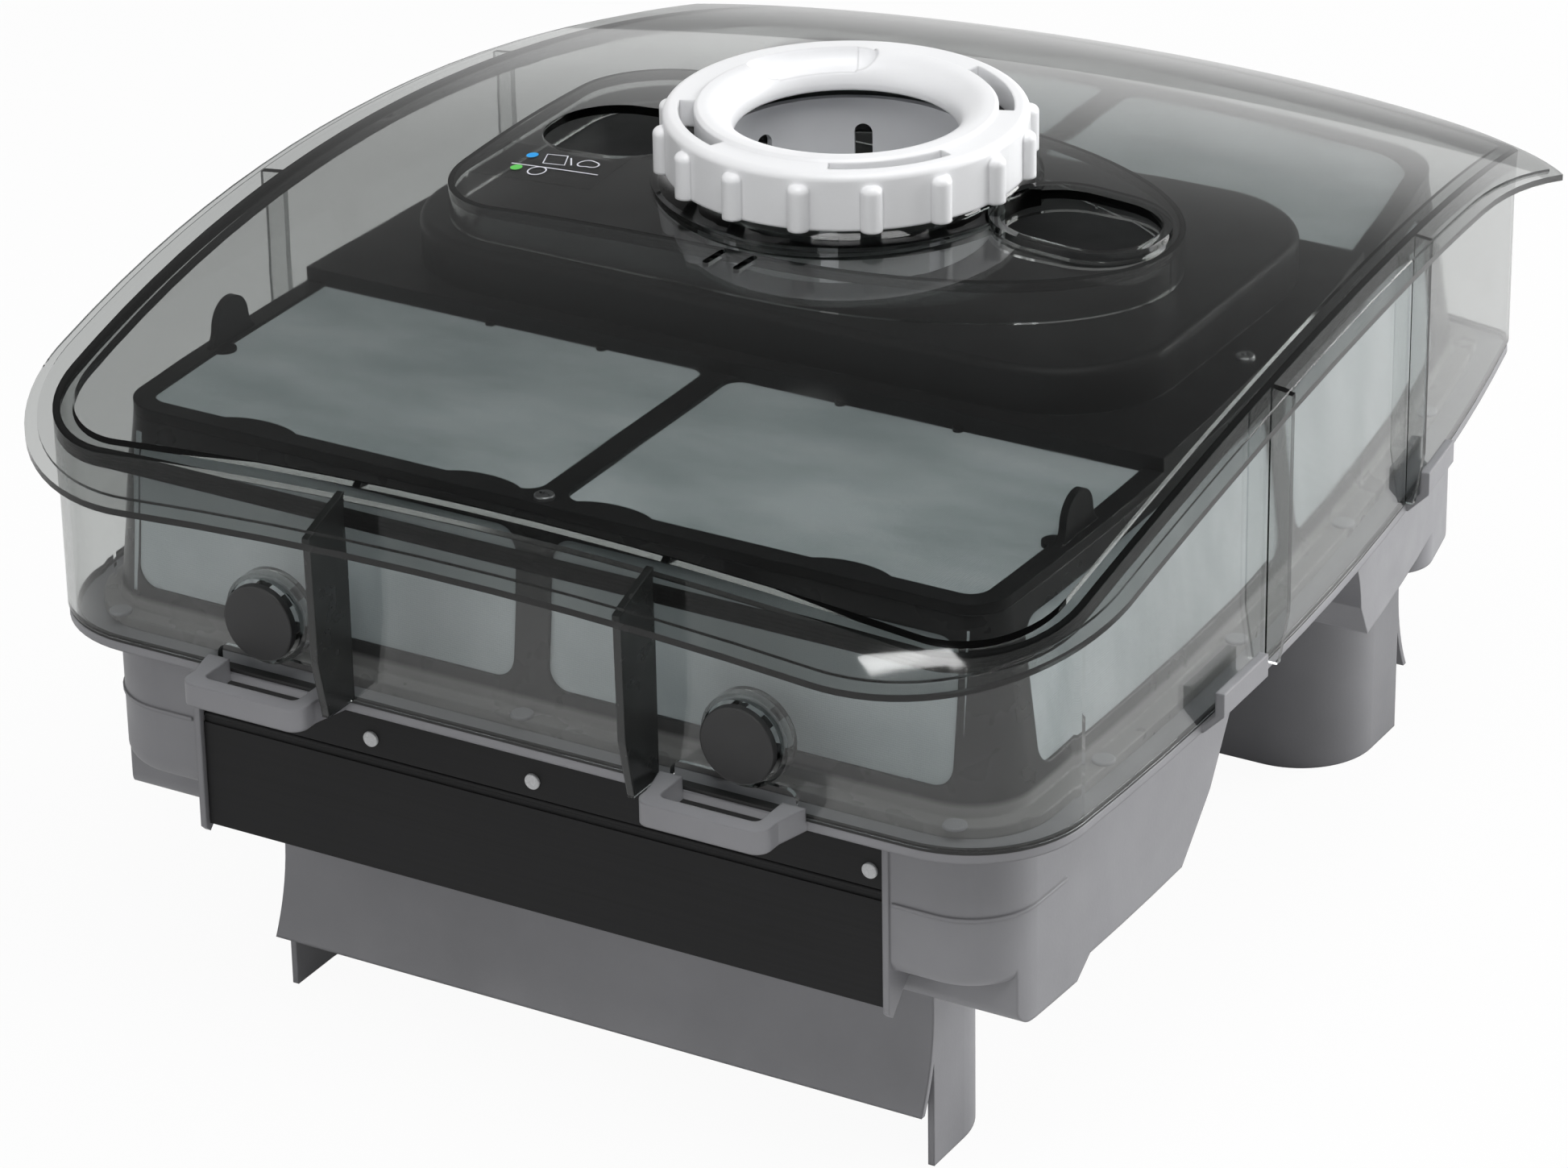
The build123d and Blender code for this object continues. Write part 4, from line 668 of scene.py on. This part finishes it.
class FILTERUNIT_OT_filter(bpy.types.Operator):
    """Black filter frame, filter top and the staked heads along its flange"""

    bl_idname = "filterunit.filter"
    bl_label = "Filter frame and top"

    def foot(self, plastics):
        """Black plastic that turns grey at the frame's foot and flange."""
        look = Finish("frame_foot")
        axes = look.nodes.new("ShaderNodeSeparateXYZ")
        look.links.new(look.place, axes.inputs["Vector"])
        height = look.spread(axes.outputs["Z"], 0.0, 1.0, FOOT_GREY[0], FOOT_GREY[1])
        look.join(look.blend(height, plastics.foot, plastics.black), "Base Color")
        look.join(look.spread(look.grain(GLOSS_SCALE, 3.0), 0.24, 0.36), "Roughness")
        look.set("Specular IOR Level", 0.3)
        look.join(look.soft_edge(plastics.edge_round), "Normal")
        return look.material

    def execute(self, context):
        plastics = context.scene.filterunit_plastics
        black = moulded("frame_black", plastics.black, 0.42, vary=0.12, grain=500.0, depth=0.00001,
                        edge=0.0008, specular=0.22)
        foot = self.foot(plastics)
        heads = moulded("rivet_grey", shade(plastics.grey, 1.2), 0.45, edge=0.0004)
        dress(("filter_top",), black)
        dress(("filter_frame",), foot)
        dress(("frame_rivets",), heads)
        return {"FINISHED"}


class FILTERUNIT_OT_hardware(bpy.types.Operator):
    """Screws, rods, pins and rubber seals"""

    bl_idname = "filterunit.hardware"
    bl_label = "Screws, rods, pins and seals"

    def execute(self, context):
        plastics = context.scene.filterunit_plastics
        steel = Finish("screw_steel")
        steel.set("Metallic", 1.0)
        steel.join(steel.blend(steel.grain(400.0), (0.42, 0.42, 0.43), (0.6, 0.6, 0.61)), "Base Color")
        steel.join(steel.spread(steel.grain(900.0), 0.25, 0.42), "Roughness")
        dress(("filter_screws", "front_inlet_rod", "rear_inlet_rod"), steel.material)
        pin = Finish("pin_clear")
        pin.join(pin.blend(pin.grain(300.0), shade(plastics.pin, 0.9), plastics.pin), "Base Color")
        pin.join(pin.spread(pin.grain(500.0), 0.2, 0.32), "Roughness")
        pin.set("Transmission Weight", 0.15)
        dress(("flap_pins",), pin.material)
        rubber = moulded("rubber_black", (0.02, 0.02, 0.02), 0.7, vary=0.15)
        dress(("neck_seal", "cover_seal", "tube_seal"), rubber)
        return {"FINISHED"}


THREAD_PITCH = 0.0007
RIPPLE_SCALE = (26.0, 40.0, 30.0)
RIPPLE_EDGE = 6.0
CLOTH_LEAN = 0.1
NODE_PREFIX = "mesh_"


class FILTERUNIT_OT_cloth(bpy.types.Operator):
    """Filter cloth in every window of the frame and the top"""

    bl_idname = "filterunit.cloth"
    bl_label = "Filter cloth"

    def finish(self, settings):
        """Soft woven filter cloth."""
        look = Finish("mesh_fabric")
        smear = look.grain(16.0, 6.0, stretch=(1.0, 2.2, 1.0))
        used = look.spread(smear, 0.0, 1.0, 0.35, 0.68)
        look.join(look.blend(used, settings.cloth, settings.stain), "Base Color")
        look.set("Roughness", 0.9)
        look.set("Sheen Weight", 0.25)
        look.set("Sheen Roughness", 0.4)
        threads = look.product(look.weave(THREAD_PITCH, "X"), look.weave(THREAD_PITCH, "Z"))
        fuzz = look.bump(look.grain(420.0, 5.0), 0.5, 0.0003)
        look.join(look.bump(threads, 0.35, 0.00025, fuzz), "Normal")
        return look.material

    def panel(self, node, material, settings, place, size):
        """One panel, laid out by place(u, v), which gives a point and the way the cloth faces."""
        bm = bmesh.new()
        across = settings.cuts
        up = max(8, round(settings.cuts * size[1] / size[0]))
        bmesh.ops.create_grid(bm, x_segments=across, y_segments=up, size=0.5)
        for vert in bm.verts:
            u, v = vert.co.x + 0.5, vert.co.y + 0.5
            point, facing = place(u, v)
            calm = min(1.0, RIPPLE_EDGE * min(u, 1.0 - u, v, 1.0 - v))
            wave = noise.noise(point * Vector(RIPPLE_SCALE))
            vert.co = point + facing * (settings.ripple * calm * wave)
        bmesh.ops.recalc_face_normals(bm, faces=bm.faces)
        bmesh.ops.solidify(bm, geom=bm.faces[:], thickness=settings.thickness)
        name = "cloth_" + node[len(NODE_PREFIX):]
        piece = finish_piece(bm, name, material, "base")
        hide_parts(node)

    def execute(self, context):
        settings = context.scene.filterunit_mesh
        material = self.finish(settings)
        lap = settings.lap
        for node in sorted(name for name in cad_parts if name.startswith(NODE_PREFIX)):
            low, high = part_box(node)
            side = -1.0 if node.endswith("left") else 1.0
            front = "_front_" in node
            x0, x1 = sorted((abs(low.x), abs(high.x)))
            x0, x1 = x0 - lap, x1 + lap
            y0, y1, z0, z1 = low.y - lap, high.y + lap, low.z - lap, high.z + lap
            if "_top_" in node:
                z = (low.z + high.z) / 2
                inset = TOP_WINDOW_INSET - lap

                def place(u, v):
                    x = x0 + u * (x1 - x0)
                    for _ in range(4):
                        far = y1 if front else min(y1, back_y(x, inset))
                        y = y0 + v * (far - y0)
                        x = x0 + u * (side_x(y, inset) - x0)
                    return Vector((side * x, y, z)), Vector((0, 0, 1))

                size = (x1 - x0, y1 - y0)
            elif "_side_" in node:

                def place(u, v):
                    y = y0 + u * (y1 - y0)
                    z = z0 + v * (z1 - z0)
                    facing = Vector((side, 0, CLOTH_LEAN)).normalized()
                    return Vector((side * side_x(y, wall_inset(z)), y, z)), facing

                size = (y1 - y0, z1 - z0)
            else:

                def place(u, v):
                    x = x0 + u * (x1 - x0)
                    z = z0 + v * (z1 - z0)
                    y = FRONT_Y + wall_inset(z) if front else back_y(x, wall_inset(z))
                    facing = Vector((0, -1 if front else 1, CLOTH_LEAN)).normalized()
                    return Vector((side * x, y, z)), facing

                size = (x1 - x0, z1 - z0)
            self.panel(node, material, settings, place, size)
        return {"FINISHED"}


FLOOR_HALF = 15.0
FLOOR_SEEN = 0.95
FLOOR_MIRRORED = 0.35
UNIT_MIDDLE = (0.0, 0.0, 0.16)
KEY_PLACE, KEY_SIZE = (1.35, 1.6, 0.8), (1.6, 1.2)
TOP_PLACE, TOP_SIZE = (0.5, -0.6, 2.0), (1.4, 1.4)
FILL_PLACE, FILL_SIZE = (-1.2, -1.7, 0.9), (1.2, 1.2)
SPARK_PLACE, SPARK_SIZE = (-0.43, 0.37, 1.92), (0.12, 0.035)
SPARK_TARGET = (0.14, -0.227, 0.206)
CAMERA_PLACE = (0.9111, -1.6000, 1.0038)
CAMERA_RIGHT = (0.8658, 0.5003, -0.01515)
CAMERA_UP = (-0.2087, 0.3883, 0.8976)
CAMERA_BACK = (0.4549, -0.7739, 0.4406)
SENSOR_WIDTH = 36.0


class FILTERUNIT_OT_stage(bpy.types.Operator):
    """Pale floor, soft studio light and the camera"""

    bl_idname = "filterunit.stage"
    bl_label = "Stage"

    def lamp(self, name, place, target, size, power):
        """Area light turned to a point."""
        data = bpy.data.lights.new(name, "AREA")
        data.shape = "RECTANGLE"
        data.size, data.size_y = size
        data.energy = power
        lamp = bpy.data.objects.new(name, data)
        lamp.location = place
        lamp.rotation_mode = "QUATERNION"
        lamp.rotation_quaternion = (Vector(target) - Vector(place)).to_track_quat("-Z", "Y")
        bpy.context.scene.collection.objects.link(lamp)

    def floor(self, settings):
        """Large pale floor that stays white to the camera and keeps the shadow."""
        bm = bmesh.new()
        bmesh.ops.create_grid(bm, x_segments=4, y_segments=4, size=FLOOR_HALF)
        mesh = bpy.data.meshes.new("floor")
        bm.to_mesh(mesh)
        bm.free()
        look = Finish("floor_pale")
        look.join(look.blend(look.grain(3.0), shade(settings.floor, 0.98), settings.floor), "Base Color")
        look.set("Roughness", 0.8)
        look.set("Specular IOR Level", 0.2)
        glow = look.nodes.new("ShaderNodeEmission")
        glow.inputs["Strength"].default_value = 1.0
        path = look.nodes.new("ShaderNodeLightPath")
        seen = look.nodes.new("ShaderNodeMath")
        seen.operation = "MAXIMUM"
        look.links.new(path.outputs["Is Camera Ray"], seen.inputs[0])
        look.links.new(path.outputs["Is Transmission Ray"], seen.inputs[1])
        mirrored = look.spread(path.outputs["Is Glossy Ray"], 0.0, FLOOR_MIRRORED, 0.0, 1.0)
        share = look.nodes.new("ShaderNodeMath")
        share.operation = "MULTIPLY_ADD"
        share.inputs[1].default_value = FLOOR_SEEN
        look.links.new(seen.outputs["Value"], share.inputs[0])
        look.links.new(mirrored, share.inputs[2])
        mix = look.nodes.new("ShaderNodeMixShader")
        look.links.new(share.outputs["Value"], mix.inputs["Fac"])
        look.links.new(look.shader.outputs["BSDF"], mix.inputs[1])
        look.links.new(glow.outputs["Emission"], mix.inputs[2])
        look.links.new(mix.outputs["Shader"], look.nodes["Material Output"].inputs["Surface"])
        mesh.materials.append(look.material)
        floor = bpy.data.objects.new("floor", mesh)
        bpy.context.scene.collection.objects.link(floor)

    def world(self, settings):
        """Surroundings: white to the eye, dimmer as a light, darker with height in mirrors."""
        world = bpy.data.worlds.new("studio")
        world.use_nodes = True
        nodes, links = world.node_tree.nodes, world.node_tree.links
        back = nodes["Background"]
        back.inputs["Color"].default_value = (1.0, 1.0, 1.0, 1.0)
        path = nodes.new("ShaderNodeLightPath")
        place = nodes.new("ShaderNodeTexCoord")
        axes = nodes.new("ShaderNodeSeparateXYZ")
        sky = nodes.new("ShaderNodeMapRange")
        sky.interpolation_type = "SMOOTHSTEP"
        sky.inputs["From Min"].default_value = settings.horizon
        sky.inputs["From Max"].default_value = settings.ceiling
        sky.inputs["To Min"].default_value = 1.0
        sky.inputs["To Max"].default_value = settings.mirror
        links.new(place.outputs["Generated"], axes.inputs["Vector"])
        links.new(axes.outputs["Z"], sky.inputs["Value"])
        zenith = nodes.new("ShaderNodeMapRange")
        zenith.inputs["From Min"].default_value = settings.ceiling
        zenith.inputs["From Max"].default_value = settings.zenith
        zenith.inputs["To Min"].default_value = 1.0
        zenith.inputs["To Max"].default_value = settings.overhead
        links.new(axes.outputs["Z"], zenith.inputs["Value"])
        dimmed = nodes.new("ShaderNodeMath")
        dimmed.operation = "MULTIPLY"
        links.new(sky.outputs["Result"], dimmed.inputs[0])
        links.new(zenith.outputs["Result"], dimmed.inputs[1])
        plain = nodes.new("ShaderNodeMath")
        plain.operation = "MAXIMUM"
        links.new(path.outputs["Is Camera Ray"], plain.inputs[0])
        links.new(path.outputs["Is Transmission Ray"], plain.inputs[1])
        lit = nodes.new("ShaderNodeMapRange")
        lit.inputs["To Min"].default_value = settings.ambient
        lit.inputs["To Max"].default_value = 1.0
        links.new(plain.outputs["Value"], lit.inputs["Value"])
        strength = nodes.new("ShaderNodeMix")
        links.new(path.outputs["Is Glossy Ray"], strength.inputs["Factor"])
        links.new(lit.outputs["Result"], strength.inputs["A"])
        links.new(dimmed.outputs["Value"], strength.inputs["B"])
        links.new(strength.outputs["Result"], back.inputs["Strength"])
        bpy.context.scene.world = world

    def camera(self, settings):
        """Camera at the photograph's angle."""
        data = bpy.data.cameras.new("camera")
        data.sensor_width = SENSOR_WIDTH
        data.lens = settings.focal
        data.clip_start, data.clip_end = 0.05, 50.0
        camera = bpy.data.objects.new("camera", data)
        turn = Matrix((CAMERA_RIGHT, CAMERA_UP, CAMERA_BACK)).transposed().to_4x4()
        camera.matrix_world = Matrix.Translation(CAMERA_PLACE) @ turn
        bpy.context.scene.collection.objects.link(camera)
        bpy.context.scene.camera = camera

    def execute(self, context):
        settings = context.scene.filterunit_stage
        context.scene.view_settings.view_transform = "Standard"
        self.floor(settings)
        self.world(settings)
        self.lamp("key_right", KEY_PLACE, UNIT_MIDDLE, KEY_SIZE, settings.key)
        self.lamp("top_soft", TOP_PLACE, UNIT_MIDDLE, TOP_SIZE, settings.top)
        self.lamp("front_fill", FILL_PLACE, UNIT_MIDDLE, FILL_SIZE, settings.fill)
        self.lamp("rim_spark", SPARK_PLACE, SPARK_TARGET, SPARK_SIZE, settings.spark)
        self.camera(settings)
        return {"FINISHED"}


class FILTERUNIT_PT_panel(bpy.types.Panel):
    """Steps that dress the filter unit"""

    bl_label = "Filter Unit"
    bl_idname = "FILTERUNIT_PT_panel"
    bl_space_type = "VIEW_3D"
    bl_region_type = "UI"
    bl_category = "Filter Unit"

    def draw(self, context):
        for operator in OPERATORS:
            self.layout.operator(operator.bl_idname)


SETTINGS = (
    ("filterunit_plastics", FILTERUNIT_PG_plastics),
    ("filterunit_cover", FILTERUNIT_PG_cover),
    ("filterunit_mesh", FILTERUNIT_PG_mesh),
    ("filterunit_stage", FILTERUNIT_PG_stage),
)
OPERATORS = (
    FILTERUNIT_OT_base,
    FILTERUNIT_OT_cover,
    FILTERUNIT_OT_bead,
    FILTERUNIT_OT_fins,
    FILTERUNIT_OT_label,
    FILTERUNIT_OT_ring,
    FILTERUNIT_OT_valves,
    FILTERUNIT_OT_flaps,
    FILTERUNIT_OT_filter,
    FILTERUNIT_OT_hardware,
    FILTERUNIT_OT_cloth,
    FILTERUNIT_OT_stage,
)


def register():
    """Registers settings, operators and the panel."""
    for name, group in SETTINGS:
        bpy.utils.register_class(group)
        setattr(bpy.types.Scene, name, PointerProperty(type=group))
    for operator in OPERATORS:
        bpy.utils.register_class(operator)
    bpy.utils.register_class(FILTERUNIT_PT_panel)


def unregister():
    """Takes back what register added."""
    bpy.utils.unregister_class(FILTERUNIT_PT_panel)
    for operator in reversed(OPERATORS):
        bpy.utils.unregister_class(operator)
    for name, group in reversed(SETTINGS):
        delattr(bpy.types.Scene, name)
        bpy.utils.unregister_class(group)


def main():
    """Dresses the unit step by step."""
    register()
    for operator in OPERATORS:
        step = operator.bl_idname.split(".")[1]
        getattr(bpy.ops.filterunit, step)()


if __name__ == "__main__":
    main()
